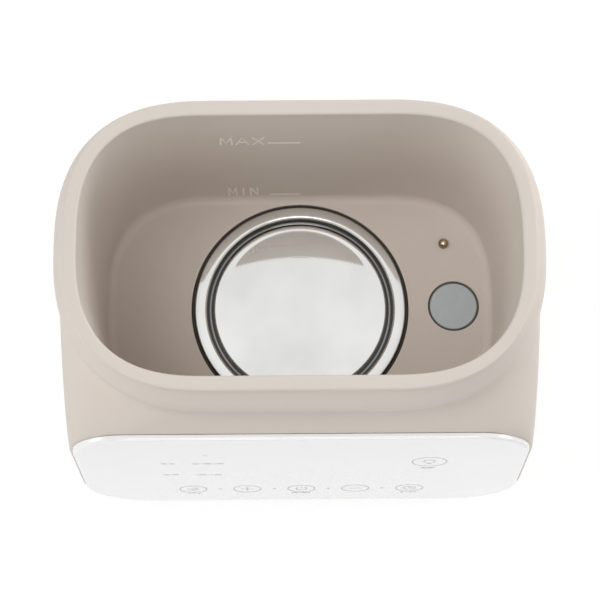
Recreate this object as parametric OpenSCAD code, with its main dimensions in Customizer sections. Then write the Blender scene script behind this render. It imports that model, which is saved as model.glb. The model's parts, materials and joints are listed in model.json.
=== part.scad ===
// Double bottle warmer: a water tank with a heated floor, in a casing with a leaning touch panel.
// The origin is on the ground, under the middle of the outline; +Z is up and the panel faces -Y.
// All sizes are in millimetres. A drop is a distance below the rim's top face.

/* [Water tank] */
// Distance of the mouth's side edges inside the sides of the lower body
mouth_in = 7.75; // [6.5:0.25:10]
// Depth of the tank mouth, front to back
mouth_d = 104.5; // [103:0.5:108]
// Squareness of the mouth's back corners, where 2 is an ellipse
mouth_power = 2.75; // [2.4:0.05:3.2]
// Squareness of the mouth's front corners
mouth_front_power = 2.65; // [2.4:0.05:3.2]
// Straight stretch in the middle of each round end
end_flat = 1; // [0.5:0.5:6]
// Depth from the rim to the tank floor
tank_depth = 100; // [80:1:112]
// Wall of the tank
tank_wall = 2.4; // [1.8:0.1:2.8]
// Thickness of the tank floor
floor_t = 3; // [2.5:0.1:3.5]
// Lean of each side wall between rim and floor
side_draft = 3; // [1:0.5:3.5]
// Lean of the back wall between rim and floor
back_draft = 3.6; // [1:0.2:5]
// Lean of the front wall between rim and floor
front_draft = 0.5; // [0.2:0.1:0.8]
// Fillet between the walls and the floor
floor_fillet = 4; // [2:0.5:4.5]
// Rounding of the tank's lower outer edge
under_fillet = 2; // [1:0.5:2.5]
// Width of the flat rim
rim_w = 6; // [5.5:0.1:7]
// Thickness of the rim flange
rim_t = 2.5; // [2:0.1:3]
// Rounding of the rim's edges
rim_round = 1; // [0.6:0.1:1.2]

/* [Casing] */
// Overall height, feet included
total_h = 140; // [126:1:160]
// Width of the lower body
body_w = 188.5; // [172:0.5:206]
// Wall of the casing
casing_wall = 2.5; // [2:0.1:3]
// Squareness of the casing's back corners, where 2 is an ellipse
back_power = 2.6; // [2.4:0.05:3]
// Squareness of the collar's front corners
front_power = 2.3; // [2.2:0.05:2.8]
// How far the collar stands out from the mouth at the sides and back
collar_out = 10.4; // [9.4:0.2:12]
// How far the collar stands out from the mouth at the front
collar_front = 11.6; // [10:0.2:13]
// Drop of the collar's widest line
collar_drop = 14; // [11:0.5:16]
// Height of the rounded step under the collar
step_h = 3; // [2:0.5:4]
// How far the step under the collar runs back in at the sides and back
step_in = 1.6; // [0.8:0.1:2]
// How far the step under the collar runs back in at the front
step_front = 0.3; // [0.2:0.1:1]
// Drop of the front face's top edge
face_drop = 31.8; // [28:0.2:36]
// How far the front face stands out from the mouth at its top edge
face_out = 16.9; // [16:0.1:19]
// Angle at which the front face leans back
face_lean = 5; // [2:0.5:7]
// Radius of the front face's upper corners
face_r = 24; // [18:1:28]
// Drop at which the front corners are full
corner_drop = 60; // [56:1:70]
// Radius of the front corners
front_corner = 2; // [1.6:0.1:3]
// Rounding between the sides, the back and the underside
bottom_fillet = 24; // [18:1:26]
// Width of the ledge that the base cover closes on
ledge_w = 8; // [6:0.5:10]
// Width of the window behind the front panel
window_w = 140; // [138:1:150]
// Corner radius of the window
window_r = 6; // [4:0.5:8]
// Distance of the window's upper edge below the panel's top edge
window_top = 22; // [18:0.5:24]
// Distance of the window's lower edge above the panel's lower edge
window_low = 6.5; // [5:0.5:10]

/* [Front panel] */
// Strip of casing left beside the front panel
panel_in = 2; // [1.5:0.1:6]
// Strip of casing left under the front panel
panel_low = 0.6; // [0.4:0.1:4]
// Thickness of the front panel
panel_t = 2.4; // [2:0.1:3]
// Radius of the front panel's upper corners
panel_r = 23; // [16:1:26]
// Radius of the front panel's lower corners
panel_low_r = 27; // [20:1:32]
// Rounding of the front panel's edge
panel_edge = 1.4; // [0.8:0.1:1.8]
// Strip of casing left above the panel
panel_top_gap = 0.5; // [0.3:0.1:1]
// Thickness of the rib that locates the panel in the window
rib_t = 1.4; // [1:0.1:2]
// Clearance of that rib in the window
rib_clear = 0.3; // [0.2:0.05:0.5]
// Width of each snap hook
hook_w = 10; // [6:1:14]
// Overlap of a snap hook behind the casing wall
hook_catch = 0.8; // [0.5:0.1:1.2]
// Clearance between a snap hook and the casing wall
hook_clear = 0.2; // [0.1:0.05:0.4]
// Pitch of the five touch keys in the row
key_pitch = 23.3; // [20:0.1:25]
// Distance of the key row above the panel's lower edge
key_row_low = 21.3; // [19:0.1:24]
// Distance of the lamp key from the right end of the touch board
lamp_key_in = 13.3; // [10:0.1:18]
// Distance of the lamp key below the panel's top edge
lamp_key_y = 36; // [33:0.5:40]

/* [Touch board] */
// Gap between the touch board's edges and the window's edges
touch_in = 4; // [3:0.5:6]
// Thickness of the circuit boards
board_t = 1.6; // [1:0.1:2]
// Distance from the panel's back to the touch board
touch_gap = 8; // [6:0.5:9]
// Outer diameter of a key spring
spring_d = 8; // [6:0.5:9]
// Wire diameter of a key spring
spring_wire = 0.6; // [0.4:0.1:0.8]
// Diameter of the bosses that carry the touch board
touch_boss_d = 6; // [5:0.5:7]
// Inset of those bosses from the board's corners
touch_boss_in = 4; // [3.5:0.5:6]
// Width of the digit display
display_w = 36; // [30:1:40]
// Height of the digit display
display_h = 15; // [12:1:18]
// Distance of the display's middle below the panel's top edge
display_y = 46; // [42:1:52]
// Gap between the display or an indicator and the panel's back
light_gap = 0.4; // [0.2:0.1:0.8]
// Diameter of an indicator lamp
led_d = 3; // [2:0.5:4]
// Distance of the left column of indicators from the left end of the touch board
led_in = 11.2; // [9:0.2:14]
// Pitch of the two columns of indicators
led_pitch = 16; // [12:0.5:18]
// Distance of the upper row of indicators below the panel's top edge
led_upper = 37; // [34:0.5:42]
// Distance of the lower row of indicators below the panel's top edge
led_lower = 55.5; // [50:0.5:60]

/* [Heating plate] */
// Outer diameter of the plate's raised ring
plate_d = 91.4; // [84:0.2:92]
// Distance of the plate's axis in front of the mouth's middle
plate_front = 2; // [1:0.1:2.2]
// Gap between the plate and the edge of its hole
plate_gap = 1.5; // [1.2:0.1:1.8]
// Sheet thickness of the plate
plate_t = 0.8; // [0.5:0.1:1]
// Width of the raised ring
ring_w = 5.2; // [4:0.1:6]
// Height of the raised ring's crown over the tank floor
ring_h = 1.2; // [0.8:0.1:2]
// Width of the groove inside the ring
groove_w = 2.8; // [2.2:0.1:3.4]
// Depth of the groove under the tank floor
groove_depth = 1.3; // [0.6:0.1:1.5]
// Height of the disc's edge over the tank floor
disc_h = 0.6; // [0.3:0.1:1]
// Rise of the domed disc from its edge to its middle
dome_h = 0.9; // [0.5:0.1:1.6]
// Flatness of the dome, where 2 is evenly curved and more keeps its fall near the edge
dome_power = 5; // [2:0.5:8]
// Width of the hidden flange under the tank floor
flange_w = 4; // [3.4:0.1:4.4]
// Thickness of the plate seal under the tank floor
seal_t = 1.5; // [1:0.1:2]
// Clearance round the seal's lip
seal_clear = 0.3; // [0.2:0.05:0.4]
// Depth of the seal's lip under the tank floor's surface
lip_drop = 0.8; // [0.4:0.1:1.5]
// Thickness of the clamp ring
clamp_t = 2; // [1.5:0.1:3]
// Diameter of the clamp ring's opening
clamp_bore = 86; // [82:0.5:88]
// Diameter of the lugs and of the tank's bosses over them
lug_d = 8; // [7:0.5:9]

/* [Heater] */
// Thickness of the heat spreader
spreader_t = 3; // [2:0.1:4]
// Gap between the disc's groove wall and the heat spreader
spreader_gap = 1.6; // [1:0.1:3]
// Film gap between the disc and the heat spreader
film_gap = 0.1; // [0.05:0.05:0.3]
// Radius of the heating element's loop
element_r = 26; // [22:0.5:30]
// Diameter of the heating element's tube
element_d = 6.4; // [5:0.2:8]
// Depth of the flat on the tube where it meets the spreader
element_flat = 0.4; // [0.2:0.1:0.8]
// Angle that the loop leaves open for the terminals
element_open = 50; // [40:5:80]
// Length of the terminal pins
pin_l = 6; // [4:0.5:8]
// Diameter of the terminal pins
pin_d = 2.4; // [1.6:0.2:3]
// Diameter of the cut-out thermostat
cutout_d = 16; // [14:0.5:18]
// Height of the cut-out thermostat
cutout_h = 10; // [8:0.5:11]
// Diameter of the thermal fuse
fuse_d = 4; // [3:0.2:5]
// Length of the thermal fuse
fuse_l = 12; // [10:0.5:14]
// Length of each lead of the thermal fuse
lead_l = 5; // [3:0.5:6]
// Diameter of those leads
lead_d = 0.8; // [0.6:0.1:1]
// Sheet thickness of the fuse clip
clip_t = 0.6; // [0.4:0.1:1]

/* [Probe and lamp] */
// Distance of the probe's axis from the lens's axis, towards the middle
probe_in = 3.8; // [0:0.1:6]
// Distance of the probe's axis behind the lamp holder's ear and the back pillar
probe_gap = 4.8; // [4.6:0.1:6]
// Diameter of the probe's dome
probe_d = 4.4; // [4:0.1:6]
// Diameter of the probe's stem
stem_d = 3; // [2.4:0.1:3.4]
// Width of the probe nut across its flats
nut_af = 7; // [6:0.5:9]
// Thickness of the probe nut
nut_t = 3; // [2:0.2:4]
// Thickness of the probe seal
probe_seal_t = 1; // [0.6:0.1:1.5]
// Gap between the plate's hole and the lamp lens
lens_gap = 9.3; // [8.4:0.1:12]
// Gap between the lamp lens and the mouth's side edge
lens_side = 9.6; // [9:0.1:14]
// Place of the lamp lens in front of the mouth's middle
lens_front = 1.2; // [0:0.1:3]
// Width of the seal ring seen round the lens
lens_ring = 0.6; // [0.5:0.1:1]
// Gap between the lens and its seal
lens_fit = 0.1; // [0.05:0.05:0.2]
// Depth of the lens seal's lip under the tank floor's surface
lens_lip_drop = 0.2; // [0.1:0.1:0.6]
// Width of the lens flange under the tank floor
lens_flange = 2.6; // [2:0.1:2.8]
// Thickness of the lens flange
lens_flange_t = 1.6; // [1:0.1:2.5]
// Thickness of the lens seal under the tank floor
lens_seal_t = 0.8; // [0.5:0.1:1.2]
// Wall of the lamp holder
holder_wall = 1.6; // [1.2:0.1:2]
// Height of the lamp holder under the lens flange
holder_h = 9; // [7:0.5:12]
// Thickness of the lamp holder's screw ears
ear_t = 2.4; // [1.6:0.2:3]

/* [Base] */
// Height of the rubber feet
foot_h = 2; // [1.5:0.1:3]
// Diameter of the rubber feet
foot_d = 14; // [10:0.5:16]
// Depth of the foot's recess in the base cover
foot_recess = 1; // [0.6:0.1:1.4]
// Distance of the feet from the front and back edges of the base cover
foot_in = 14.5; // [12:0.5:16]
// Distance of the feet from the side edges of the base cover
foot_side = 30; // [28:0.5:36]
// Thickness of the base cover
base_t = 3; // [2.6:0.1:3.4]
// Gap between the edge of the base cover and the casing's outline
base_in = 1; // [0.5:0.1:2]
// Radius of the base cover's back corners
base_corner = 28; // [26:0.5:30]
// Place of the screw pillars right and left of the plate's axis
pillar_x = 54; // [53:0.5:55]
// Place of the back pillars behind the plate's axis
pillar_back = 20; // [18:0.5:21]
// Place of the front pillars in front of the plate's axis
pillar_front = 40; // [30:0.5:44]
// Diameter of the screw pillars
pillar_d = 8; // [7:0.5:9]
// Gap between the pillars and their notches in the casing's ledge
notch_gap = 0.5; // [0.3:0.1:1]
// Width of the vent slots
vent_w = 2.5; // [1.5:0.5:4]
// Length of the vent slots
vent_l = 24; // [16:1:26]
// Number of vent slots
vent_n = 9; // [3:1:11]
// Pitch of the vent slots
vent_pitch = 6; // [5:0.5:7]
// Distance of the vent slots from the front edge of the base cover
vent_in = 14; // [12:1:16]

/* [Power board] */
// Gap between the plate's flange and the power board
power_gap = 8; // [7.6:0.1:10]
// Distance of the power board's outer edge inside the mouth's side edge
power_side = 6.5; // [5:0.5:8]
// Distance of the power board's middle in front of the mouth's middle
power_front = 6; // [4:0.5:7]
// Length of the power board, front to back
power_l = 70; // [69:0.5:74]
// Height of the bosses that the board hangs on
hang_h = 3; // [2.6:0.1:3.2]
// Diameter of those bosses
hang_d = 6; // [5:0.5:7]
// Distance of those bosses from the ends of the board
hang_in = 4; // [3.5:0.5:4.5]
// Gap between the pieces on the board
part_gap = 1.5; // [1:0.1:1.6]
// Width of the relay
relay_w = 10; // [8:0.5:12]
// Length of the relay
relay_l = 18; // [15:0.5:18]
// Height of the relay
relay_h = 9.5; // [8:0.5:10]
// Width of the transformer's core
core_w = 12; // [10:0.5:12]
// Length of the transformer's core
core_l = 12; // [10:0.5:12]
// Height of the transformer's core
core_h = 9.5; // [8:0.5:10]
// Diameter of a filter capacitor
can_d = 6.3; // [5:0.1:6.5]
// Height of a filter capacitor
can_h = 9.5; // [8:0.5:10]
// Width of the terminal block
block_w = 9; // [8:0.5:10]
// Pitch of the terminal block's three ways
block_pitch = 5; // [4:0.1:5]
// Height of the terminal block
block_h = 9.5; // [8:0.5:10]

/* [Fasteners and gland] */
// Diameter of the large screws' shank
screw_d = 3; // [2.5:0.1:3.4]
// Diameter of the small screws' shank
small_screw_d = 2.2; // [1.8:0.1:2.6]
// Head diameter as a multiple of the shank
head_factor = 2; // [1.7:0.1:2.2]
// Height of the screw heads
head_h = 1.4; // [1:0.1:1.6]
// Length of the large screws in the pillars
screw_grip = 12; // [8:0.5:14]
// Length of the small screws in their bosses
small_grip = 5; // [3:0.5:6]
// Clearance between a shank and its hole, on the diameter
hole_clear = 0.6; // [0.4:0.1:0.8]
// Distance of the cord gland's axis from the left end of the flat back
gland_side = 8.65; // [8.5:0.05:30]
// Height of the cord gland's axis
gland_z = 39; // [38:0.5:42]
// Diameter of the cord passage in the gland
gland_bore = 7; // [6:0.2:8]
// Diameter of the gland's neck through the wall
gland_neck = 10; // [9.6:0.2:11]
// Diameter of the gland's outer flange
gland_flange = 15; // [13:0.5:16]
// Thickness of the gland's outer flange
gland_flange_t = 2; // [1.5:0.1:3]
// Thickness of the gland nut
gland_nut_t = 3; // [2:0.2:3.4]
// Length of the gland's neck past its nut
gland_end = 0.5; // [0.3:0.1:1]

/* [Hidden] */
$fn = 48;
eps = 0.01;
corner_steps = 13;
fillet_steps = 6;
collar_steps = 5;
shoulder_steps = 12;

// Widths that follow the lower body, and heights of the main levels
mouth_w = body_w - 2 * mouth_in;
panel_w = body_w - 2 * panel_in;
rim_z = total_h;
floor_z = rim_z - tank_depth;
under_z = floor_z - floor_t;
base_top_z = foot_h + base_t;
face_top_z = rim_z - face_drop;
panel_top_z = face_top_z - panel_top_gap * cos(face_lean);
panel_h = (panel_top_z - base_top_z - panel_low) / cos(face_lean);
step_drop = collar_drop + step_h;

// Window, touch board and key row on the front face, measured from the panel's top edge
window_h = panel_h - window_top - window_low;
window_y = window_top + window_h / 2;
touch_w = window_w - 2 * touch_in;
touch_h = window_h - 2 * touch_in;
key_row_y = panel_h - key_row_low;
lamp_key_x = touch_w / 2 - lamp_key_in;
led_left = touch_w / 2 - led_in;

// The tank's middle lies behind the origin by half of what the front reaches out further than the back
back_reach = mouth_d / 2 + collar_out + max(gland_flange_t - step_in, 0);
panel_reach = (panel_top_gap + panel_h - panel_edge) * sin(face_lean)
    + (panel_t - panel_edge) * cos(face_lean) + panel_edge;
front_reach = mouth_d / 2 + face_out + panel_reach;
tank_y = (front_reach - back_reach) / 2;
plate_y = tank_y - plate_front;
lens_y = tank_y - lens_front;
back_y = tank_y + mouth_d / 2 + collar_out - step_in;
neck_front = tank_y - mouth_d / 2 - collar_front + step_front;
neck_c = (back_y - neck_front - end_flat) / 2;
gland_x = body_w / 2 - neck_c - gland_side;

// Levels and radii of the plate's stack under the tank floor
plate_r = plate_d / 2;
hole_r = plate_r + plate_gap;
flange_r = plate_r + plate_t + flange_w;
flange_z = under_z - seal_t;
clamp_z = flange_z - plate_t;
lug_r = flange_r + seal_clear + lug_d / 2;
disc_r = plate_r - ring_w - groove_w;
spreader_r = disc_r - spreader_gap;
spreader_z = floor_z + disc_h - plate_t - film_gap - spreader_t;
element_z = spreader_z - element_d / 2 + element_flat;

// Places and levels of the lens and probe stacks
lens_d = mouth_w / 2 - lens_side - hole_r - lens_gap;
lens_x = hole_r + lens_gap + lens_d / 2;
probe_x = lens_x - probe_in;
lens_hole_r = lens_d / 2 + lens_ring + seal_clear;
lens_flange_r = lens_d / 2 + lens_flange;
lens_flange_z = under_z - lens_seal_t;
holder_z = lens_flange_z - lens_flange_t - holder_h;
holder_r = lens_flange_r + holder_wall;
holder_ear = holder_r + lug_d / 2;
probe_y = max(lens_y + holder_ear + lug_d / 2, plate_y + pillar_back + pillar_d / 2) + probe_gap;
lamp_board_r = lens_flange_r - seal_clear;
lamp_board_z = holder_z + holder_wall;

// Power board, hung under the left end of the tank with its pieces downward
power_w = mouth_w / 2 - power_side - flange_r - power_gap;
power_x = flange_r + power_gap + power_w / 2;
power_y = tank_y - power_front;
board_z = under_z - hang_h - board_t;
row_y = hang_in + small_screw_d * head_factor / 2 + part_gap;
block_l = 3 * block_pitch;

function lerp(a, b, t) = a + (b - a) * t;
function ease(t) = t * t * (3 - 2 * t);
function reversed(list) = [for (i = [len(list) - 1 : -1 : 0]) list[i]];

// Outer surface of the front face at a height
function face_y(z) = tank_y - mouth_d / 2 - face_out - (face_top_z - z) * tan(face_lean);

// One quarter of a superellipse corner of extents cx and cy: insets from the side and from the end
function corner_inset(cx, cy, power, k) =
    let(a = 90 * k / corner_steps)
    [cx * (1 - pow(cos(a), 2 / power)), cy * (1 - pow(sin(a), 2 / power))];

// Plan ring at height z, from the right side round the back: half width, front, back, corners
function ring(hw, front, back, front_c, front_p, back_c, back_p, z) =
    let(
        b = [for (k = [0 : corner_steps]) corner_inset(back_c.x, back_c.y, back_p, k)],
        f = [for (k = [0 : corner_steps]) corner_inset(front_c.x, front_c.y, front_p, k)]
    )
    concat(
        [for (q = b) [hw - q.x, back - q.y, z]],
        [for (q = reversed(b)) [q.x - hw, back - q.y, z]],
        [for (q = f) [q.x - hw, front + q.y, z]],
        [for (q = reversed(f)) [hw - q.x, front + q.y, z]]
    );

// Ring that stands out from the mouth by a distance, with ends that are round over their whole depth
function oval_ring(hw, front, back, out, z) =
    let(
        c = (back - front - end_flat) / 2,
        k = min(max(out / collar_out, 0), 1)
    )
    ring(
        hw, front, back,
        [c, c], lerp(mouth_front_power, front_power, k),
        [c, c], lerp(mouth_power, back_power, k), z
    );

// Tank section at a drop, grown by side and by front
function tank_ring(side, front, drop) =
    let(k = drop / tank_depth)
    oval_ring(
        mouth_w / 2 - side_draft * k + side,
        tank_y - mouth_d / 2 + front_draft * k - front,
        tank_y + mouth_d / 2 - back_draft * k + side,
        side,
        rim_z - drop
    );

// Flare of the collar at a drop, upright beside the rim flange and then bulging out to its widest line
function bulge(drop) = sin(90 * max(drop - rim_t, 0) / (collar_drop - rim_t));
function flare(drop) = lerp(rim_w, collar_out, bulge(drop));
function flare_front(drop) = lerp(rim_w, collar_front, bulge(drop));

// Collar section at a drop, shrunk by an inset
function collar_ring(side, front, drop, inset) =
    oval_ring(
        mouth_w / 2 + side - inset,
        tank_y - mouth_d / 2 - front + inset,
        tank_y + mouth_d / 2 + side - inset,
        side,
        rim_z - drop
    );

// Half width of the flat front face at a drop: straight sides and round corners
function face_half(drop) =
    let(d = min(max(drop - face_drop, 0), face_r))
    body_w / 2 - front_corner - face_r + sqrt(face_r * face_r - pow(face_r - d, 2));

// Shoulder section between the collar's oval and the squared lower body, shrunk by an inset
function shoulder_ring(t, inset) =
    let(
        drop = lerp(step_drop, corner_drop, t),
        z = rim_z - drop,
        u = min((drop - step_drop) / (face_drop - step_drop), 1),
        hw = lerp(mouth_w / 2 + collar_out - step_in, body_w / 2, ease(t)),
        front = drop < face_drop ? lerp(neck_front, face_y(face_top_z), ease(u)) : face_y(z),
        cx = lerp(neck_c, hw - face_half(drop), u),
        cy = lerp(front_corner, neck_c, pow(1 - t, 1.3))
    )
    ring(
        hw - inset, front + inset, back_y - inset,
        [max(cx - inset, 0.5), max(cy - inset, 0.5)], lerp(front_power, 2, t),
        [neck_c - inset, neck_c - inset], back_power, z
    );

// Lower body section at height z, drawn in at the sides and back
function body_ring(z, draw_in, inset) =
    let(
        c = neck_c - draw_in - inset,
        f = max(front_corner - inset, 0.5)
    )
    ring(
        body_w / 2 - draw_in - inset, face_y(z) + inset, back_y - draw_in - inset,
        [f, f], 2, [c, c], back_power, z
    );

// Rounded lower edge as rings from the underside up
function bottom_rings(r, z0, inset) =
    [for (i = [0 : fillet_steps]) let(a = 90 * i / fillet_steps)
        body_ring(z0 + r * (1 - cos(a)), r * (1 - sin(a)), inset)];

// Shoulder rings from the neck down, closer together near the neck
function shoulder_rings(inset) =
    [for (i = [0 : shoulder_steps]) shoulder_ring(pow(i / shoulder_steps, 1.5), inset)];

// Triangles between rings i and j of n points each
function band(i, j, n) = [
    for (k = [0 : n - 1]) let(m = (k + 1) % n)
        each [[i * n + k, j * n + k, j * n + m], [i * n + k, j * n + m, i * n + m]]
];

// Solid skinned over rings that close on the first one
module skin_loop(rings) {
    n = len(rings[0]);
    last = len(rings) - 1;
    polyhedron(
        points = [for (r = rings) each r],
        faces = [for (i = [0 : last]) each band(i, i == last ? 0 : i + 1, n)]
    );
}

// Solid skinned over rings and capped at both ends
module skin_capped(rings) {
    n = len(rings[0]);
    last = len(rings) - 1;
    polyhedron(
        points = [for (r = rings) each r],
        faces = concat(
            [[for (k = [0 : n - 1]) k]],
            [for (i = [0 : last - 1]) each band(i, i + 1, n)],
            [[for (k = [n - 1 : -1 : 0]) last * n + k]]
        )
    );
}

// Frame of the front face: x right, y up along the face from the panel's top edge, z outward
module front_frame() {
    translate([0, face_y(panel_top_z), panel_top_z])
        rotate([90 - face_lean, 0, 0])
            children();
}

// Flat outline with round corners, the front pair and the back pair of their own radius
module plan_outline(hw, front, back, front_r, back_r) {
    polygon([
        [front_r - hw, front], [hw - front_r, front], [hw, front + front_r], [hw, back - back_r],
        [hw - back_r, back], [back_r - hw, back], [-hw, back - back_r], [-hw, front + front_r]
    ]);
    for (s = [-1, 1]) {
        translate([s * (hw - front_r), front + front_r]) circle(front_r);
        translate([s * (hw - back_r), back - back_r]) circle(back_r);
    }
}

// Rounded rectangle about its middle
module round_rect(w, h, r) {
    plan_outline(w / 2, -h / 2, h / 2, r, r);
}

// Pan-head screw that points up, with its head's seat at the origin
module screw(d, length) {
    cylinder(d = d, h = length);
    translate([0, 0, -head_h]) cylinder(d = d * head_factor, h = head_h);
}

// Ring about +Z between two radii
module tube(outer_r, inner_r, h) {
    difference() {
        cylinder(r = outer_r, h = h);
        translate([0, 0, -eps]) cylinder(r = inner_r, h = h + 2 * eps);
    }
}

// Places that repeat
module at_pillars() {
    for (x = [-1, 1], y = [-pillar_front, pillar_back])
        translate([x * pillar_x, plate_y + y, 0]) children();
}

module at_lugs() {
    translate([0, plate_y, 0])
        for (a = [45 : 90 : 315])
            rotate([0, 0, a]) translate([lug_r, 0, 0]) children();
}

module at_holder_ears() {
    translate([lens_x, lens_y, 0])
        for (s = [-1, 1])
            translate([0, s * holder_ear, 0]) children();
}

module at_feet() {
    for (x = [-1, 1], y = [base_front() + foot_in, base_back() - foot_in])
        translate([x * (base_half() - foot_side), y, 0]) children();
}

module at_hangers() {
    for (s = [-1, 1])
        translate([-power_x, power_y + s * (power_l / 2 - hang_in), 0]) children();
}

module at_keys() {
    for (i = [-2 : 2])
        translate([i * key_pitch, -key_row_y, 0]) children();
    translate([lamp_key_x, -lamp_key_y, 0]) children();
}

module at_leds() {
    for (x = [led_left, led_left - led_pitch], y = [led_upper, led_lower])
        translate([-x, -y, 0]) children();
}

module at_touch_bosses() {
    for (x = [-1, 1], y = [-1, 1])
        translate([x * (touch_w / 2 - touch_boss_in), y * (touch_h / 2 - touch_boss_in) - window_y, 0])
            children();
}

// Outline of the base cover
function base_half() = body_w / 2 - bottom_fillet - base_in;
function base_front() = face_y(base_top_z) + base_in;
function base_back() = back_y - bottom_fillet - base_in;

module outer_casing() {
    w = casing_wall;
    top = [for (i = [collar_steps : -1 : 0]) lerp(rim_t, collar_drop, i / collar_steps)];
    bead = [for (a = [75 : -25 : 25]) let(k = 1 - cos(a))
        [collar_out - step_in * k, collar_front - step_front * k, collar_drop + step_h * sin(a)]];
    outside = concat(
        bottom_rings(bottom_fillet, base_top_z, 0),
        reversed(shoulder_rings(0)),
        [for (b = bead) collar_ring(b[0], b[1], b[2], 0)],
        [for (drop = top) collar_ring(flare(drop), flare_front(drop), drop, 0)]
    );
    inside = concat(
        [for (drop = reversed(top)) collar_ring(flare(drop), flare_front(drop), drop, w)],
        shoulder_rings(w),
        reversed(bottom_rings(bottom_fillet - w, base_top_z + w, w))
    );
    opening_half = body_w / 2 - bottom_fillet - ledge_w;
    opening_front = face_y(base_top_z) + w + ledge_w;
    opening_back = back_y - bottom_fillet - ledge_w;
    c = [base_corner - ledge_w, base_corner - ledge_w];
    opening = [for (z = [base_top_z + w, base_top_z])
        ring(opening_half, opening_front, opening_back, c, 2, c, 2, z)];
    color("#cfc5bb")
        difference() {
            skin_loop(concat(outside, inside, opening));
            front_frame() translate([0, -window_y, -4 * w])
                linear_extrude(8 * w) round_rect(window_w, window_h, window_r);
            translate([-gland_x, back_y - 2 * w, gland_z])
                rotate([-90, 0, 0]) cylinder(d = gland_neck + hole_clear, h = 4 * w);
            at_pillars() translate([0, 0, base_top_z - w])
                cylinder(d = pillar_d + 2 * notch_gap, h = 3 * w);
        }
}

module water_tank() {
    bend = [for (i = [0 : fillet_steps]) 90 * i / fillet_steps];
    outside = concat(
        [for (a = bend) let(draw_in = tank_wall - under_fillet * (1 - sin(a)))
            tank_ring(draw_in, draw_in, tank_depth + floor_t - under_fillet * (1 - cos(a)))],
        [tank_ring(tank_wall, tank_wall, rim_t)]
    );
    edge = concat(
        [tank_ring(flare(rim_t), flare_front(rim_t), rim_t)],
        [for (a = [0 : 30 : 90])
            let(drop = rim_round * (1 - sin(a)), draw_in = rim_round * (1 - cos(a)))
            tank_ring(flare(drop) - draw_in, flare_front(drop) - draw_in, drop)]
    );
    inside = concat(
        [for (a = [90 : -30 : 0]) let(o = rim_round * (1 - cos(a)))
            tank_ring(o, o, rim_round * (1 - sin(a)))],
        [for (a = bend) let(o = -floor_fillet * (1 - cos(a)))
            tank_ring(o, o, tank_depth - floor_fillet * (1 - sin(a)))]
    );
    color("#a89d92")
        difference() {
            union() {
                skin_capped(concat(outside, edge, inside));
                at_pillars() translate([0, 0, base_top_z])
                    cylinder(d = pillar_d, h = under_z - base_top_z + floor_t / 2);
                at_lugs() translate([0, 0, clamp_z])
                    cylinder(d = lug_d, h = under_z - clamp_z + floor_t / 2);
                at_hangers() translate([0, 0, under_z - hang_h])
                    cylinder(d = hang_d, h = hang_h + floor_t / 2);
                at_holder_ears() translate([0, 0, lens_flange_z - lens_flange_t])
                    cylinder(d = lug_d, h = lens_flange_t + lens_seal_t + floor_t / 2);
            }
            translate([0, plate_y, clamp_z - eps]) cylinder(r = hole_r, h = rim_z - clamp_z);
            translate([lens_x, lens_y, under_z - eps]) cylinder(r = lens_hole_r, h = 2 * floor_t);
            translate([probe_x, probe_y, under_z - eps]) cylinder(d = stem_d + hole_clear, h = 2 * floor_t);
            at_pillars() translate([0, 0, base_top_z - eps])
                cylinder(d = screw_d + hole_clear, h = screw_grip + 1);
            at_lugs() translate([0, 0, clamp_z - eps])
                cylinder(d = small_screw_d + hole_clear, h = under_z - clamp_z + floor_t / 3);
            at_hangers() translate([0, 0, under_z - hang_h - eps])
                cylinder(d = small_screw_d + hole_clear, h = hang_h + floor_t / 3);
            at_holder_ears() translate([0, 0, lens_flange_z - lens_flange_t - eps])
                cylinder(d = small_screw_d + hole_clear, h = lens_flange_t + lens_seal_t + floor_t / 3);
        }
}

module front_panel() {
    hw = panel_w / 2;
    sides = [[0, 0], [0, panel_t - panel_edge]];
    edge = [for (a = [15 : 15 : 90])
        [panel_edge * (1 - cos(a)), panel_t - panel_edge * (1 - sin(a))]];
    rings = [for (q = concat(sides, edge)) let(i = q[0], low = panel_low_r - i, r = panel_r - i)
        ring(hw - i, i - panel_h, -i, [low, low], 2, [r, r], 2, q[1])];
    rib_w = window_w - 2 * rib_clear;
    rib_h = window_h - 2 * rib_clear;
    rib_r = window_r - rib_clear;
    hook_x = window_w / 2 - rib_clear;
    hook_z = casing_wall + hook_clear;
    color("#f4f3f1")
        front_frame() {
            skin_capped(rings);
            translate([0, -window_y, -casing_wall])
                linear_extrude(casing_wall)
                    difference() {
                        round_rect(rib_w, rib_h, rib_r);
                        round_rect(rib_w - 2 * rib_t, rib_h - 2 * rib_t, rib_r - rib_t);
                    }
            for (s = [-1, 1])
                mirror([s < 0 ? 1 : 0, 0, 0])
                    translate([0, hook_w / 2 - window_y, 0])
                        rotate([90, 0, 0])
                            linear_extrude(hook_w)
                                polygon([
                                    [hook_x - rib_t, 0], [hook_x, 0], [hook_x, -hook_z],
                                    [hook_x + rib_clear + hook_catch, -hook_z],
                                    [hook_x, -hook_z - 2 * hook_catch],
                                    [hook_x - rib_t, -hook_z - 2 * hook_catch]
                                ]);
            at_touch_bosses() translate([0, 0, -touch_gap])
                tube(touch_boss_d / 2, (small_screw_d + hole_clear) / 2, touch_gap);
        }
}

module touch_board() {
    color("#2f6b45")
        front_frame() translate([0, 0, -touch_gap - board_t])
            difference() {
                translate([0, -window_y, 0]) linear_extrude(board_t) round_rect(touch_w, touch_h, 2);
                at_touch_bosses() translate([0, 0, -eps])
                    cylinder(d = small_screw_d + hole_clear, h = board_t + 2 * eps);
            }
}

module key_springs() {
    color("#c9b37a")
        front_frame() at_keys() translate([0, 0, -touch_gap])
            tube(spring_d / 2, spring_d / 2 - spring_wire, touch_gap);
}

module display_module() {
    color("#3a3a3c")
        front_frame() translate([0, -display_y, -touch_gap])
            linear_extrude(touch_gap - light_gap) square([display_w, display_h], center = true);
}

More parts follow.
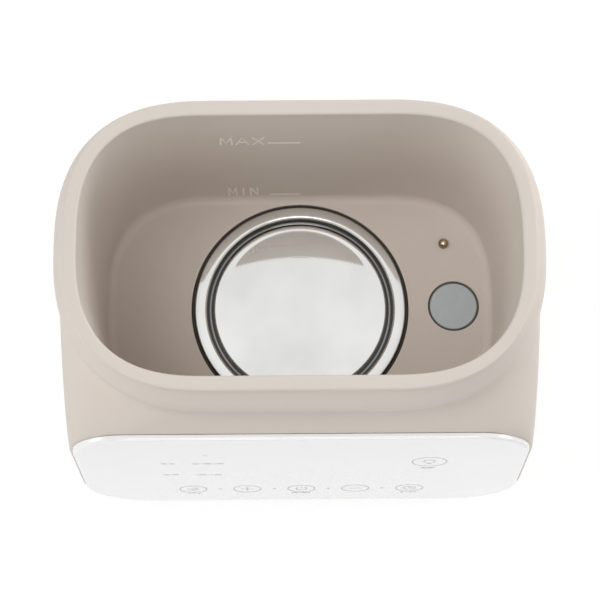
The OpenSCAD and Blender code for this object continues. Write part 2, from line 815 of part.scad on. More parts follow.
module mode_leds() {
    body_h = touch_gap - light_gap - led_d / 2;
    color("#e8efe6")
        front_frame() at_leds() translate([0, 0, -touch_gap]) {
            cylinder(d = led_d * 1.25, h = 1);
            cylinder(d = led_d, h = body_h);
            translate([0, 0, body_h]) sphere(d = led_d);
        }
}

module touch_board_screws() {
    color("#b9bcc0")
        front_frame() at_touch_bosses() translate([0, 0, -touch_gap - board_t])
            screw(small_screw_d, board_t + small_grip);
}

// Height of the domed disc's top surface at a radius
function dome_z(r) = floor_z + disc_h + dome_h * (1 - pow(r / disc_r, dome_power));

// Normal to the left of the step from a to b, and a path moved along its normals
function left_normal(a, b) = let(d = (b - a) / norm(b - a)) [-d.y, d.x];
function moved_path(p, by) = [
    for (i = [0 : len(p) - 1])
        let(
            before = left_normal(p[max(i - 1, 0)], p[max(i, 1)]),
            after = left_normal(p[min(i, len(p) - 2)], p[min(i + 1, len(p) - 1)]),
            mid = (before + after) / norm(before + after),
            q = p[i] + mid * by / (mid * before)
        )
        [i == 0 ? 0 : q.x, q.y]
];

module heating_plate() {
    ring_in = plate_r - ring_w;
    groove_mid = (ring_in + disc_r) / 2;
    groove_z = floor_z - groove_depth;
    edge_r = plate_t / 2;
    crown = [for (i = [0 : 6]) let(k = i / 6)
        [lerp(ring_in, plate_r - edge_r, k), floor_z + ring_h * lerp(0.75, 1, sin(180 * k))]];
    top = concat(
        [for (i = [0 : 10]) let(r = (disc_r - edge_r) * i / 10) [r, dome_z(r)]],
        [[disc_r + edge_r / 2, floor_z]],
        [[groove_mid - groove_w / 6, groove_z], [groove_mid + groove_w / 6, groove_z]],
        crown,
        [[plate_r, floor_z + ring_h * 0.75 - edge_r], [plate_r, flange_z + plate_t]],
        [[plate_r + plate_t, flange_z], [flange_r, flange_z]]
    );
    color("#d9dad8")
        translate([0, plate_y, 0])
            rotate_extrude() polygon(concat(top, reversed(moved_path(top, -plate_t))));
}

module plate_seal() {
    lip_in = plate_r + seal_clear;
    lip_out = hole_r - seal_clear;
    color("#2b2724")
        translate([0, plate_y, 0])
            rotate_extrude()
                polygon([
                    [lip_in + plate_t, flange_z], [flange_r, flange_z],
                    [flange_r, under_z], [lip_out, under_z],
                    [lip_out, floor_z - lip_drop], [lip_in, floor_z - lip_drop],
                    [lip_in, flange_z + plate_t]
                ]);
}

module clamp_ring() {
    color("#9da0a3")
        translate([0, 0, clamp_z - clamp_t])
            difference() {
                union() {
                    translate([0, plate_y, 0]) cylinder(r = flange_r, h = clamp_t);
                    at_lugs() {
                        cylinder(d = lug_d, h = clamp_t);
                        translate([-lug_d, -lug_d / 2, 0]) cube([lug_d, lug_d, clamp_t]);
                    }
                }
                translate([0, plate_y, -eps]) cylinder(d = clamp_bore, h = clamp_t + 2 * eps);
                at_lugs() translate([0, 0, -eps])
                    cylinder(d = small_screw_d + hole_clear, h = clamp_t + 2 * eps);
            }
}

module clamp_screws() {
    color("#b9bcc0")
        at_lugs() translate([0, 0, clamp_z - clamp_t])
            screw(small_screw_d, clamp_t + under_z - clamp_z);
}

module heat_spreader() {
    top = [for (i = [0 : 8]) let(r = spreader_r * i / 8) [r, dome_z(r) - plate_t - film_gap]];
    color("#b7babd")
        translate([0, plate_y, 0])
            rotate_extrude() polygon(concat(top, [[spreader_r, spreader_z], [0, spreader_z]]));
}

module heating_element() {
    half = element_open / 2;
    color("#7d7f82")
        translate([0, plate_y, element_z]) {
            difference() {
                rotate([0, 0, half - 90])
                    rotate_extrude(angle = 360 - element_open)
                        translate([element_r, 0]) circle(d = element_d);
                translate([0, 0, element_d / 2 - element_flat])
                    cylinder(r = element_r + element_d, h = element_d);
            }
            for (s = [-1, 1])
                rotate([0, 0, s * (half + 2) - 90]) translate([element_r, 0, 0])
                    rotate([s * 90, 0, 0]) translate([0, 0, -eps]) cylinder(d = pin_d, h = pin_l);
        }
}

module cutout_thermostat() {
    flange = cutout_d * 1.15;
    color("#3d3a38")
        translate([0, plate_y, spreader_z - cutout_h]) {
            cylinder(d = cutout_d, h = cutout_h);
            translate([0, 0, cutout_h - 2]) cylinder(d = flange, h = 2);
            for (s = [-1, 1])
                translate([s * cutout_d / 4 - 0.4, -3.2, -6]) cube([0.8, 6.4, 6 + eps]);
        }
}

// Middle of the thermal fuse, beside the cut-out
fuse_y = plate_y + (cutout_d * 1.15 / 2 + element_r - element_d / 2) / 2;
fuse_z = spreader_z - clip_t - fuse_d / 2;

module thermal_fuse() {
    color("#c8b58a")
        translate([-fuse_l / 2, fuse_y, fuse_z]) rotate([0, 90, 0]) {
            cylinder(d = fuse_d - 2 * eps, h = fuse_l);
            translate([0, 0, -lead_l]) cylinder(d = lead_d, h = fuse_l + 2 * lead_l);
        }
}

module fuse_clip() {
    bore = fuse_d / 2 + 0.1;
    color("#a8abae")
        translate([-fuse_l / 3, fuse_y, fuse_z]) rotate([90, 0, 90])
            linear_extrude(fuse_l * 2 / 3)
                difference() {
                    union() {
                        circle(bore + clip_t);
                        translate([-bore - clip_t, bore - clip_t])
                            square([2 * bore + 2 * clip_t, spreader_z - fuse_z - bore + clip_t]);
                    }
                    circle(bore);
                    translate([-bore, -2 * bore]) square([2 * bore, 2 * bore]);
                }
}

module temperature_probe() {
    tip = probe_d / 2;
    stem_l = floor_t + probe_seal_t + nut_t + 3;
    color("#b08d4f")
        translate([probe_x, probe_y, floor_z]) {
            cylinder(d = probe_d, h = tip * 0.4);
            intersection() {
                translate([0, 0, tip * 0.4]) sphere(d = probe_d);
                cylinder(d = probe_d, h = 2 * probe_d);
            }
            translate([0, 0, -stem_l]) cylinder(d = stem_d, h = stem_l + eps);
        }
}

module probe_seal() {
    color("#2b2724")
        translate([probe_x, probe_y, under_z - probe_seal_t])
            tube(nut_af / 2, (stem_d + hole_clear) / 2, probe_seal_t);
}

module probe_nut() {
    color("#b9975a")
        translate([probe_x, probe_y, under_z - probe_seal_t - nut_t])
            difference() {
                cylinder(d = nut_af / cos(30), h = nut_t, $fn = 6);
                translate([0, 0, -eps]) cylinder(d = stem_d + hole_clear / 2, h = nut_t + 2 * eps);
            }
}

module lamp_lens() {
    color("#a7b0b2")
        translate([lens_x, lens_y, 0]) {
            translate([0, 0, lens_flange_z]) cylinder(d = lens_d, h = floor_z - lens_flange_z);
            translate([0, 0, lens_flange_z - lens_flange_t]) cylinder(r = lens_flange_r, h = lens_flange_t);
        }
}

module lens_seal() {
    lip_in = lens_d / 2 + lens_fit;
    lip_out = lens_d / 2 + lens_ring;
    color("#34322f")
        translate([lens_x, lens_y, 0])
            rotate_extrude()
                polygon([
                    [lip_in, lens_flange_z], [lens_flange_r, lens_flange_z],
                    [lens_flange_r, under_z], [lip_out, under_z],
                    [lip_out, floor_z - lens_lip_drop], [lip_in, floor_z - lens_lip_drop]
                ]);
}

module lamp_holder() {
    top_z = lens_flange_z - lens_flange_t;
    color("#e6e3de")
        difference() {
            union() {
                translate([lens_x, lens_y, holder_z]) cylinder(r = holder_r, h = holder_h);
                at_holder_ears() translate([0, 0, top_z - ear_t]) cylinder(d = lug_d, h = ear_t);
                translate([lens_x - lug_d / 2, lens_y - holder_ear, top_z - ear_t])
                    cube([lug_d, 2 * holder_ear, ear_t]);
            }
            translate([lens_x, lens_y, lamp_board_z]) cylinder(r = lens_flange_r, h = holder_h);
            translate([lens_x, lens_y, holder_z - eps]) cylinder(d = 5, h = holder_wall + 2 * eps);
            at_holder_ears() translate([0, 0, top_z - ear_t - eps])
                cylinder(d = small_screw_d + hole_clear, h = ear_t + 2 * eps);
        }
}

module lamp_board() {
    color("#f2f0ea")
        translate([lens_x, lens_y, lamp_board_z]) {
            cylinder(r = lamp_board_r, h = board_t);
            translate([-2.5, -2.5, board_t - eps]) cube([5, 5, 1.5]);
        }
}

module lamp_screws() {
    color("#b9bcc0")
        at_holder_ears() translate([0, 0, lens_flange_z - lens_flange_t - ear_t])
            screw(small_screw_d, ear_t + lens_flange_t + lens_seal_t);
}

module power_board() {
    color("#2f6b45")
        difference() {
            translate([-power_x, power_y, board_z])
                linear_extrude(board_t) round_rect(power_w, power_l, 2);
            at_hangers() translate([0, 0, board_z - eps])
                cylinder(d = small_screw_d + hole_clear, h = board_t + 2 * eps);
        }
}

// Place under the power board, at a distance from its front end; +Z points down from the board
module under_board(y) {
    translate([-power_x, power_y - power_l / 2 + y, board_z]) mirror([0, 0, 1]) children();
}

// Fronts of the pieces in the row on the board
core_front = row_y + can_d + part_gap;
relay_front = core_front + core_l + part_gap;
block_front = relay_front + relay_l + part_gap;

module terminal_block() {
    wire_d = block_pitch * 0.6;
    color("#3e8f5a")
        under_board(block_front)
            difference() {
                translate([-block_w / 2, 0, 0]) cube([block_w, block_l, block_h]);
                for (i = [0 : 2])
                    translate([0, block_pitch * (i + 0.5), block_h / 2]) cylinder(d = wire_d, h = block_h);
            }
}

module relay() {
    color("#2c4f86")
        under_board(relay_front)
            translate([-relay_w / 2, 0, 0]) cube([relay_w, relay_l, relay_h]);
}

module transformer() {
    bobbin = core_w / 6;
    color("#caa23c")
        under_board(core_front) {
            translate([-core_w / 2, core_l / 4, 0]) cube([core_w, core_l / 2, core_h]);
            translate([-core_w / 2, 0, 0]) cube([core_w, core_l, bobbin]);
            translate([bobbin - core_w / 2, 0, 0]) cube([core_w - 2 * bobbin, core_l, core_h - bobbin]);
        }
}

module filter_capacitors() {
    foot = can_d / 20;
    color("#3b3f6b")
        for (x = [-1, 1])
            under_board(row_y + can_d / 2) translate([x * (can_d / 2 + foot), 0, 0])
                cylinder(d = can_d, h = can_h);
}

module power_board_screws() {
    color("#b9bcc0")
        at_hangers() translate([0, 0, board_z])
            screw(small_screw_d, board_t + hang_h);
}

module base_cover() {
    seat = head_h + 0.6;
    color("#b8aea4")
        difference() {
            translate([0, 0, foot_h])
                linear_extrude(base_t)
                    plan_outline(base_half(), base_front(), base_back(), front_corner, base_corner);
            at_pillars() translate([0, 0, foot_h - eps]) {
                cylinder(d = screw_d + hole_clear, h = base_t + 1);
                cylinder(d = screw_d * head_factor + hole_clear, h = seat);
            }
            at_feet() translate([0, 0, foot_h - eps])
                cylinder(d = foot_d + hole_clear, h = foot_recess + eps);
            for (i = [0 : vent_n - 1])
                translate([vent_pitch * (i - (vent_n - 1) / 2), base_front() + vent_in, foot_h - eps])
                    translate([-vent_w / 2, 0, 0]) cube([vent_w, vent_l, base_t + 2 * eps]);
        }
}

module base_screws() {
    color("#b9bcc0")
        at_pillars() translate([0, 0, foot_h + head_h + 0.6])
            screw(screw_d, base_t - head_h - 0.6 + screw_grip);
}

module rubber_feet() {
    color("#4a4744")
        at_feet() cylinder(d = foot_d, h = foot_h + foot_recess);
}

module cord_gland() {
    neck_l = casing_wall + gland_nut_t + gland_end;
    color("#8b8279")
        translate([-gland_x, back_y, gland_z]) rotate([-90, 0, 0]) {
            tube(gland_flange / 2, gland_bore / 2, gland_flange_t);
            translate([0, 0, -neck_l]) tube(gland_neck / 2, gland_bore / 2, neck_l + eps);
        }
}

module gland_nut() {
    color("#8b8279")
        translate([-gland_x, back_y - casing_wall - gland_nut_t, gland_z]) rotate([-90, 0, 0])
            difference() {
                cylinder(d = gland_flange, h = gland_nut_t, $fn = 6);
                translate([0, 0, -eps])
                    cylinder(d = gland_neck + hole_clear / 2, h = gland_nut_t + 2 * eps);
            }
}

outer_casing();
water_tank();
front_panel();
touch_board();
key_springs();
display_module();
mode_leds();
touch_board_screws();
heating_plate();
plate_seal();
clamp_ring();
clamp_screws();
heat_spreader();
heating_element();
cutout_thermostat();
thermal_fuse();
fuse_clip();
temperature_probe();
probe_seal();
probe_nut();
lamp_lens();
lens_seal();
lamp_holder();
lamp_board();
lamp_screws();
power_board();
relay();
transformer();
filter_capacitors();
terminal_block();
power_board_screws();
base_cover();
base_screws();
rubber_feet();
cord_gland();
gland_nut();
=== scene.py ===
import json
import bmesh
import bpy
import numpy as np
from mathutils import Matrix


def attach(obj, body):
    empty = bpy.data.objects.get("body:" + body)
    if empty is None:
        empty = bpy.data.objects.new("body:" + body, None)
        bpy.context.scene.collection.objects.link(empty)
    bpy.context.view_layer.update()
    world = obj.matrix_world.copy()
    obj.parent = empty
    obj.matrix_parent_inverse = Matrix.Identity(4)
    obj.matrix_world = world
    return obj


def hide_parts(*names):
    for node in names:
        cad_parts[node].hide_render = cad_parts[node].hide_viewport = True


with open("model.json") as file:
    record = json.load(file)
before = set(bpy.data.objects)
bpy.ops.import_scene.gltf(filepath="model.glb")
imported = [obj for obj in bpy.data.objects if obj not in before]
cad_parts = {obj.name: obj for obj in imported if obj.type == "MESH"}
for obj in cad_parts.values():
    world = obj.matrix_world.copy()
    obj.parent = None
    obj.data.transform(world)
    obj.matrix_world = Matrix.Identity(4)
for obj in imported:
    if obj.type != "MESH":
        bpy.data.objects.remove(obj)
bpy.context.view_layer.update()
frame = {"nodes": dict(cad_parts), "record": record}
scene = bpy.context.scene
scene.view_settings.view_transform = "Standard"
print("frame loaded with", len(frame["nodes"]), "nodes")

mm = 0.001   # metres

# links an object at a place, with its own right, up and back directions
def placeObject(obj, right, up, back, place):
    rows = [[right[i], up[i], back[i], place[i]] for i in range(3)]
    obj.matrix_world = Matrix(rows + [[0, 0, 0, 1]])
    scene.collection.objects.link(obj)


# the view looks steeply down into the tank
cameraSet = {
    "aim": (0.0, -14.27, 140.0),   # point of the rim plane on the view axis
    "distance": 767.5,
    "pitch": 76.0,                 # degrees below level
    "roll": -0.4,
    "lens": 120.0,
    "sensor": 36.0,
    "clip": (0.01, 20.0),          # metres
}


def makeCamera(s):
    pitch, roll = np.radians(s["pitch"]), np.radians(s["roll"])
    forward = np.array([0, np.cos(pitch), -np.sin(pitch)])
    up = np.array([0, np.sin(pitch), np.cos(pitch)])
    right = np.array([1.0, 0, 0])
    eye = (np.array(s["aim"]) - s["distance"] * forward) * mm
    rolledRight = right * np.cos(roll) + up * np.sin(roll)
    rolledUp = up * np.cos(roll) - right * np.sin(roll)
    data = bpy.data.cameras.new("camera")
    data.lens, data.sensor_width = s["lens"], s["sensor"]
    data.clip_start, data.clip_end = s["clip"]
    cam = bpy.data.objects.new("camera", data)
    placeObject(cam, rolledRight, rolledUp, -forward, eye)
    scene.camera = cam


makeCamera(cameraSet)
print("camera placed")


# a finish starts as a Principled shader with its constants on the sockets
def newFinish(name, colour, roughness, metallic=0.0, **sockets):
    mat = bpy.data.materials.new(name)
    mat.use_nodes = True
    shader = mat.node_tree.nodes["Principled BSDF"]
    shader.inputs["Base Color"].default_value = (*colour, 1)
    shader.inputs["Roughness"].default_value = roughness
    shader.inputs["Metallic"].default_value = metallic
    for key, value in sockets.items():
        shader.inputs[key.replace("_", " ")].default_value = value
    return mat, mat.node_tree, shader


def addNode(tree, kind, **settings):
    node = tree.nodes.new(kind)
    for key, value in settings.items():
        setattr(node, key, value)
    return node


# the middle part of the noise, which is spread over the whole range
noiseMiddle = (0.25, 0.75)


# noise on Object coordinates, as a value from low to high
def noiseRange(tree, scale, low, high, detail=2.0, stretch=(1, 1, 1)):
    coord = addNode(tree, "ShaderNodeTexCoord")
    mapping = addNode(tree, "ShaderNodeMapping")
    mapping.inputs["Scale"].default_value = stretch
    noise = addNode(tree, "ShaderNodeTexNoise")
    noise.inputs["Scale"].default_value = scale
    noise.inputs["Detail"].default_value = detail
    spread = addNode(tree, "ShaderNodeMapRange")
    spread.inputs["From Min"].default_value = noiseMiddle[0]
    spread.inputs["From Max"].default_value = noiseMiddle[1]
    spread.inputs["To Min"].default_value = low
    spread.inputs["To Max"].default_value = high
    tree.links.new(coord.outputs["Object"], mapping.inputs["Vector"])
    tree.links.new(mapping.outputs["Vector"], noise.inputs["Vector"])
    tree.links.new(noise.outputs["Fac"], spread.inputs["Value"])
    return spread.outputs["Result"]


# height to the shader's normal
def addBump(tree, shader, height, depth, strength):
    bump = addNode(tree, "ShaderNodeBump")
    bump.inputs["Distance"].default_value = depth
    bump.inputs["Strength"].default_value = strength
    tree.links.new(height, bump.inputs["Height"])
    tree.links.new(bump.outputs["Normal"], shader.inputs["Normal"])


# colour that drifts between two near shades
def addTone(tree, shader, colour, amount, scale):
    mix = addNode(tree, "ShaderNodeMix", data_type="RGBA")
    mix.inputs["A"].default_value = (*[c * (1 - amount) for c in colour], 1)
    mix.inputs["B"].default_value = (*[min(c * (1 + amount), 1) for c in colour], 1)
    tree.links.new(noiseRange(tree, scale, 0, 1, detail=3), mix.inputs["Factor"])
    tree.links.new(mix.outputs["Result"], shader.inputs["Base Color"])


# moulded plastic: fine eroded grain, a faint drift of tone and of gloss
plasticSet = {"toneScale": 22, "glossScale": 45, "glossDrift": 0.04}


def mouldedPlastic(name, colour, roughness, grain=1800, depth=0.00006, tone=0.015, strength=0.35,
                   **sockets):
    s = plasticSet
    mat, tree, shader = newFinish(name, colour, roughness, **sockets)
    addTone(tree, shader, colour, tone, s["toneScale"])
    addBump(tree, shader, noiseRange(tree, grain, 0, 1), depth, strength)
    low, high = roughness - s["glossDrift"], roughness + s["glossDrift"]
    tree.links.new(noiseRange(tree, s["glossScale"], low, high), shader.inputs["Roughness"])
    return mat


# pressed or cast metal: drawn lines along one axis, or none where stretch is even
metalSet = {"tone": 0.03, "toneScale": 60, "depth": 0.00002, "glossScale": 200, "glossDrift": 0.15}


def plainMetal(name, colour, roughness, stretch=(1, 1, 1), grain=1500, strength=0.15):
    s = metalSet
    mat, tree, shader = newFinish(name, colour, roughness, 1.0)
    addTone(tree, shader, colour, s["tone"], s["toneScale"])
    addBump(tree, shader, noiseRange(tree, grain, 0, 1, stretch=stretch), s["depth"], strength)
    low, high = roughness * (1 - s["glossDrift"]), roughness * (1 + s["glossDrift"])
    gloss = noiseRange(tree, s["glossScale"], low, high, stretch=stretch)
    tree.links.new(gloss, shader.inputs["Roughness"])
    return mat


# painted shade: the colour times a level that follows a measured length; the pairs give millimetres and
# levels
def addShades(tree, shader, measure, paintedShades):
    share = addNode(tree, "ShaderNodeMapRange")
    share.inputs["From Min"].default_value = paintedShades[0][0] * mm
    share.inputs["From Max"].default_value = paintedShades[-1][0] * mm
    tree.links.new(measure, share.inputs["Value"])
    ramp = addNode(tree, "ShaderNodeValToRGB")
    stops = ramp.color_ramp.elements
    span = paintedShades[-1][0] - paintedShades[0][0]
    for length, level in paintedShades[1:-1]:
        stops.new((length - paintedShades[0][0]) / span).color = (level, level, level, 1)
    stops[0].color = (*[paintedShades[0][1]] * 3, 1)
    stops[-1].color = (*[paintedShades[-1][1]] * 3, 1)
    tree.links.new(share.outputs["Result"], ramp.inputs["Fac"])
    shaded = addNode(tree, "ShaderNodeMix", data_type="RGBA", blend_type="MULTIPLY")
    shaded.inputs["Factor"].default_value = 1
    tree.links.new(shader.inputs["Base Color"].links[0].from_socket, shaded.inputs["A"])
    tree.links.new(ramp.outputs["Color"], shaded.inputs["B"])
    tree.links.new(shaded.outputs["Result"], shader.inputs["Base Color"])


# turned metal: faint rings about an upright axis through centre, with painted shade set by the distance from
# it
turnedSet = {"tone": 0.1, "toneScale": 28, "depth": 0.00001, "glossScale": 90, "glossDrift": 0.1,
             "ringScale": 300, "distortion": 1.5, "detail": 3, "detailScale": 2}


def turnedMetal(name, colour, roughness, centre, strength, paintedShades):
    s = turnedSet
    mat, tree, shader = newFinish(name, colour, roughness, 1.0)
    addTone(tree, shader, colour, s["tone"], s["toneScale"])
    coord = addNode(tree, "ShaderNodeTexCoord")
    mapping = addNode(tree, "ShaderNodeMapping")
    mapping.inputs["Location"].default_value = (-centre[0] * mm, -centre[1] * mm, 0)
    mapping.inputs["Scale"].default_value = (1, 1, 0)
    wave = addNode(tree, "ShaderNodeTexWave", wave_type="RINGS", rings_direction="Z")
    wave.inputs["Scale"].default_value = s["ringScale"]
    wave.inputs["Distortion"].default_value = s["distortion"]
    wave.inputs["Detail"].default_value = s["detail"]
    wave.inputs["Detail Scale"].default_value = s["detailScale"]
    tree.links.new(coord.outputs["Object"], mapping.inputs["Vector"])
    tree.links.new(mapping.outputs["Vector"], wave.inputs["Vector"])
    addBump(tree, shader, wave.outputs["Fac"], s["depth"], strength)
    low, high = roughness * (1 - s["glossDrift"]), roughness * (1 + s["glossDrift"])
    tree.links.new(noiseRange(tree, s["glossScale"], low, high), shader.inputs["Roughness"])
    away = addNode(tree, "ShaderNodeVectorMath", operation="LENGTH")
    tree.links.new(mapping.outputs["Vector"], away.inputs[0])
    addShades(tree, shader, away.outputs["Value"], paintedShades)
    return mat


finishes = {
    "casing": mouldedPlastic("taupeCasing", (0.655, 0.587, 0.528), 0.52),
    "tank": mouldedPlastic("taupeTank", (0.665, 0.600, 0.545), 0.50),
    "panel": mouldedPlastic("whitePanel", (0.965, 0.965, 0.965), 0.22, grain=700, depth=0.00003,
                            tone=0.004, strength=0.05,
                            Coat_Weight=1.0, Coat_Roughness=0.08, Coat_IOR=1.6),
    "ink": mouldedPlastic("greyInk", (0.44, 0.44, 0.45), 0.5, grain=3000, tone=0.03),
    # painted highlight: the raised level marks are given a lighter colour than the tank's plastic for the
    # light they catch
    "mark": mouldedPlastic("levelMarkPaintedHighlight", (0.95, 0.89, 0.83), 0.5),
    "seal": mouldedPlastic("darkSeal", (0.034, 0.025, 0.018), 0.6, grain=2600, tone=0.05),
    "lensSeal": mouldedPlastic("greySeal", (0.105, 0.098, 0.088), 0.6, grain=2600, tone=0.05),
    "lens": mouldedPlastic("milkyLens", (0.50, 0.555, 0.575), 0.28, grain=900, depth=0.00003,
                           tone=0.02, strength=0.1,
                           Subsurface_Weight=0.3, Subsurface_Radius=(0.002, 0.002, 0.002)),
    "base": mouldedPlastic("taupeBase", (0.60, 0.54, 0.49), 0.6, grain=1200, strength=0.5),
    "foot": mouldedPlastic("footRubber", (0.075, 0.072, 0.07), 0.75, grain=1500, strength=0.6, tone=0.06),
    "gland": mouldedPlastic("glandNylon", (0.42, 0.375, 0.335), 0.5, grain=1500, tone=0.04),
    "circuit_board": mouldedPlastic("solderMask", (0.03, 0.16, 0.07), 0.35, grain=400, tone=0.15),
    "spring_steel": plainMetal("springWire", (0.62, 0.55, 0.38), 0.3),
    "display": mouldedPlastic("displayCase", (0.03, 0.03, 0.035), 0.3, tone=0.08),
    "indicator": mouldedPlastic("clearEpoxy", (0.80, 0.84, 0.80), 0.15, tone=0.02),
    "fastener": plainMetal("zincScrew", (0.58, 0.59, 0.60), 0.35),
    "clamp": plainMetal("zincSheet", (0.52, 0.53, 0.54), 0.4, (1, 8, 1)),
    "spreader": plainMetal("castAluminium", (0.66, 0.67, 0.68), 0.5, strength=0.4),
    "element": plainMetal("oxideSheath", (0.30, 0.29, 0.28), 0.5, strength=0.3),
    "phenolic": mouldedPlastic("phenolic", (0.055, 0.05, 0.047), 0.5, tone=0.08),
    "fuse": plainMetal("fuseCase", (0.66, 0.56, 0.34), 0.35),
    "holder": mouldedPlastic("lampHolder", (0.78, 0.77, 0.74), 0.5),
    "relay": mouldedPlastic("relayCase", (0.04, 0.10, 0.26), 0.4, tone=0.06),
    "transformer": mouldedPlastic("windingTape", (0.62, 0.42, 0.07), 0.4, grain=900, tone=0.1),
    "capacitor": mouldedPlastic("canSleeve", (0.06, 0.07, 0.18), 0.3, tone=0.06),
    "terminal": mouldedPlastic("terminalBody", (0.06, 0.30, 0.12), 0.45, tone=0.05),
}
print("finishes made:", len(finishes))


# points spaced evenly along a curve that is given by many points
def evenSteps(curve, count):
    along = np.r_[0, np.cumsum(np.linalg.norm(np.diff(curve, axis=0), axis=1))]
    at = np.linspace(0, along[-1], count)
    return np.stack([np.interp(at, along, curve[:, k]) for k in range(curve.shape[1])], -1)


roundPower = 2       # power of a plain ellipse
cornerSamples = 500


# quarter superellipse: insets extent * (1 - cos a ^ 2/p) from the side
# and extent * (1 - sin a ^ 2/p) from the end
def cornerInset(extent, power, count):
    a = np.linspace(0, np.pi / 2, cornerSamples)
    side = extent[0] * (1 - np.clip(np.cos(a), 0, 1) ** (2 / power))
    end = extent[1] * (1 - np.sin(a) ** (2 / power))
    return evenSteps(np.stack([side, end], -1), count)


# plan outline at height z, from the right side round the back, left and front
def planRing(hw, front, back, frontCorner, frontPower, backCorner, backPower, z, count=30):
    b = cornerInset(backCorner, backPower, count)
    f = cornerInset(frontCorner, frontPower, count)
    x = np.r_[hw - b[:, 0], b[::-1, 0] - hw, f[:, 0] - hw, hw - f[::-1, 0]]
    y = np.r_[back - b[:, 1], back - b[::-1, 1], front + f[:, 1], front + f[::-1, 1]]
    return np.stack([x, y, np.full(len(x), float(z))], -1)


# angles of a quarter turn
def quarterTurn(count):
    return np.radians(np.linspace(0, 90, count))


# circle or arc, with its angles in degrees
def circlePath(x, y, r, start=0, end=360, count=40):
    a = np.radians(np.linspace(start, end, count, endpoint=end - start < 360))
    return np.stack([x + r * np.cos(a), y + r * np.sin(a)], -1)


# grid of rings as points, quads and end caps: each ring joins the next,
# and the ends are capped or joined
def skin(rings, joinEnds=False, caps=True):
    rings = np.asarray(rings, float)
    m, n = rings.shape[:2]
    index = np.arange(m * n).reshape(m, n)
    low = index if joinEnds else index[:-1]
    high = np.roll(index, -1, 0) if joinEnds else index[1:]
    quads = np.stack([low, np.roll(low, -1, 1), np.roll(high, -1, 1), high], -1).reshape(-1, 4)
    ends = [index[0][::-1], index[-1]] if caps and not joinEnds else []
    return rings.reshape(-1, 3), quads, ends


# profile of (radius, height) turned about an upright axis
def lathe(profile, centre, count):
    profile = np.asarray(profile, float)
    a = np.linspace(0, 2 * np.pi, count, endpoint=False)
    x = centre[0] + profile[:, :1] * np.cos(a)
    y = centre[1] + profile[:, :1] * np.sin(a)
    z = np.repeat(profile[:, 1:], count, 1)
    return skin(np.stack([x, y, z], -1), caps=False)


# plain closed cylinder
def rod(centre, radius, z0, z1, count=48):
    return lathe([(0, z0), (radius, z0), (radius, z1), (0, z1)], centre, count)


mergeDistance = 1e-7   # metres
leastEdge = 1e-8


# parts in millimetres become one mesh in metres, with doubled points merged
def meshObject(name, parts):
    starts = np.cumsum([0] + [len(part[0]) for part in parts])
    points = np.concatenate([part[0] for part in parts]) * mm
    quads = np.concatenate([part[1] + start for part, start in zip(parts, starts)])
    ends = [(end + start).tolist() for part, start in zip(parts, starts) for end in part[2]]
    mesh = bpy.data.meshes.new(name)
    mesh.from_pydata(points.tolist(), [], quads.tolist() + ends)
    work = bmesh.new()
    work.from_mesh(mesh)
    bmesh.ops.remove_doubles(work, verts=work.verts, dist=mergeDistance)
    bmesh.ops.dissolve_degenerate(work, edges=work.edges, dist=leastEdge)
    work.to_mesh(mesh)
    work.free()
    obj = bpy.data.objects.new(name, mesh)
    scene.collection.objects.link(obj)
    return obj


# adds closed parts to a finished mesh, with all faces turned outward
def addParts(obj, parts=()):
    work = bmesh.new()
    work.from_mesh(obj.data)
    if parts:
        extra = meshObject("extra", parts)
        work.from_mesh(extra.data)
        bpy.data.objects.remove(extra)
    bmesh.ops.recalc_face_normals(work, faces=work.faces)
    work.to_mesh(obj.data)
    work.free()


# takes the tools out of obj and bakes the result into its mesh
def cutOut(obj, tools):
    for tool in tools:
        step = obj.modifiers.new("cut", "BOOLEAN")
        step.operation, step.solver, step.object = "DIFFERENCE", "EXACT", tool
    graph = bpy.context.evaluated_depsgraph_get()
    cut = bpy.data.meshes.new_from_object(obj.evaluated_get(graph))
    obj.modifiers.clear()
    old, obj.data = obj.data, cut
    bpy.data.meshes.remove(old)
    cut.name = obj.name
    for tool in tools:
        bpy.data.objects.remove(tool)


# last steps for every piece: finish, smooth faces with sharp edges past an angle in degrees,
# and the body it rides on
def settle(obj, finish, sharp=38, nodes=()):
    obj.data.materials.clear()
    obj.data.materials.append(finishes[finish])
    obj.data.polygons.foreach_set("use_smooth", np.ones(len(obj.data.polygons), bool))
    obj.data.set_sharp_from_angle(angle=np.radians(sharp))
    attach(obj, "root")
    if nodes:
        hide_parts(*nodes)
    print("piece", obj.name, len(obj.data.polygons), "faces")


# outline shared by the casing and the tank; a drop is a distance below the rim
form = {
    "mouthW": 173.0, "mouthD": 104.5, "mouthPower": 2.75, "mouthFrontPower": 2.65, "endFlat": 1.0,
    "rimZ": 140.0, "rimW": 6.0, "rimT": 2.5, "rimRound": 1.0, "seam": 0.12, "tankY": 8.6753,
    "frontPower": 2.3, "backPower": 2.6, "bodyW": 188.5, "wall": 2.5,
    "collarOut": 10.4, "collarFront": 11.6, "collarDrop": 14.0, "collarPower": 1.25,
    "stepH": 3.0, "stepIn": 1.6, "stepFront": 1.5, "shoulderDrop": 21.4,
    "faceDrop": 31.8, "faceOut": 16.9, "faceLean": 5.0, "faceR": 24.0, "panelTopGap": 0.5,
    "cornerDrop": 60.0, "frontCorner": 2.0, "leastCorner": 0.5, "cornerEase": 1.3,
    "bottomFillet": 24.0, "bottomZ": 5.0, "ledge": 8.0, "openingCorner": 20.0,
}
mouthFront = form["tankY"] - form["mouthD"] / 2
mouthBack = form["tankY"] + form["mouthD"] / 2
backY = mouthBack + form["collarOut"] - form["stepIn"]
neckFront = mouthFront - form["collarFront"] + form["stepFront"]
neckCorner = (backY - neckFront - form["endFlat"]) / 2
faceTopZ = form["rimZ"] - form["faceDrop"]


# straight blend from a to b
def mix(a, b, t):
    return a + (b - a) * t


# y of the leaning face at a height
def faceY(z):
    return mouthFront - form["faceOut"] - (faceTopZ - z) * np.tan(np.radians(form["faceLean"]))


# smooth step from 0 to 1
def ease(t):
    return t * t * (3 - 2 * t)


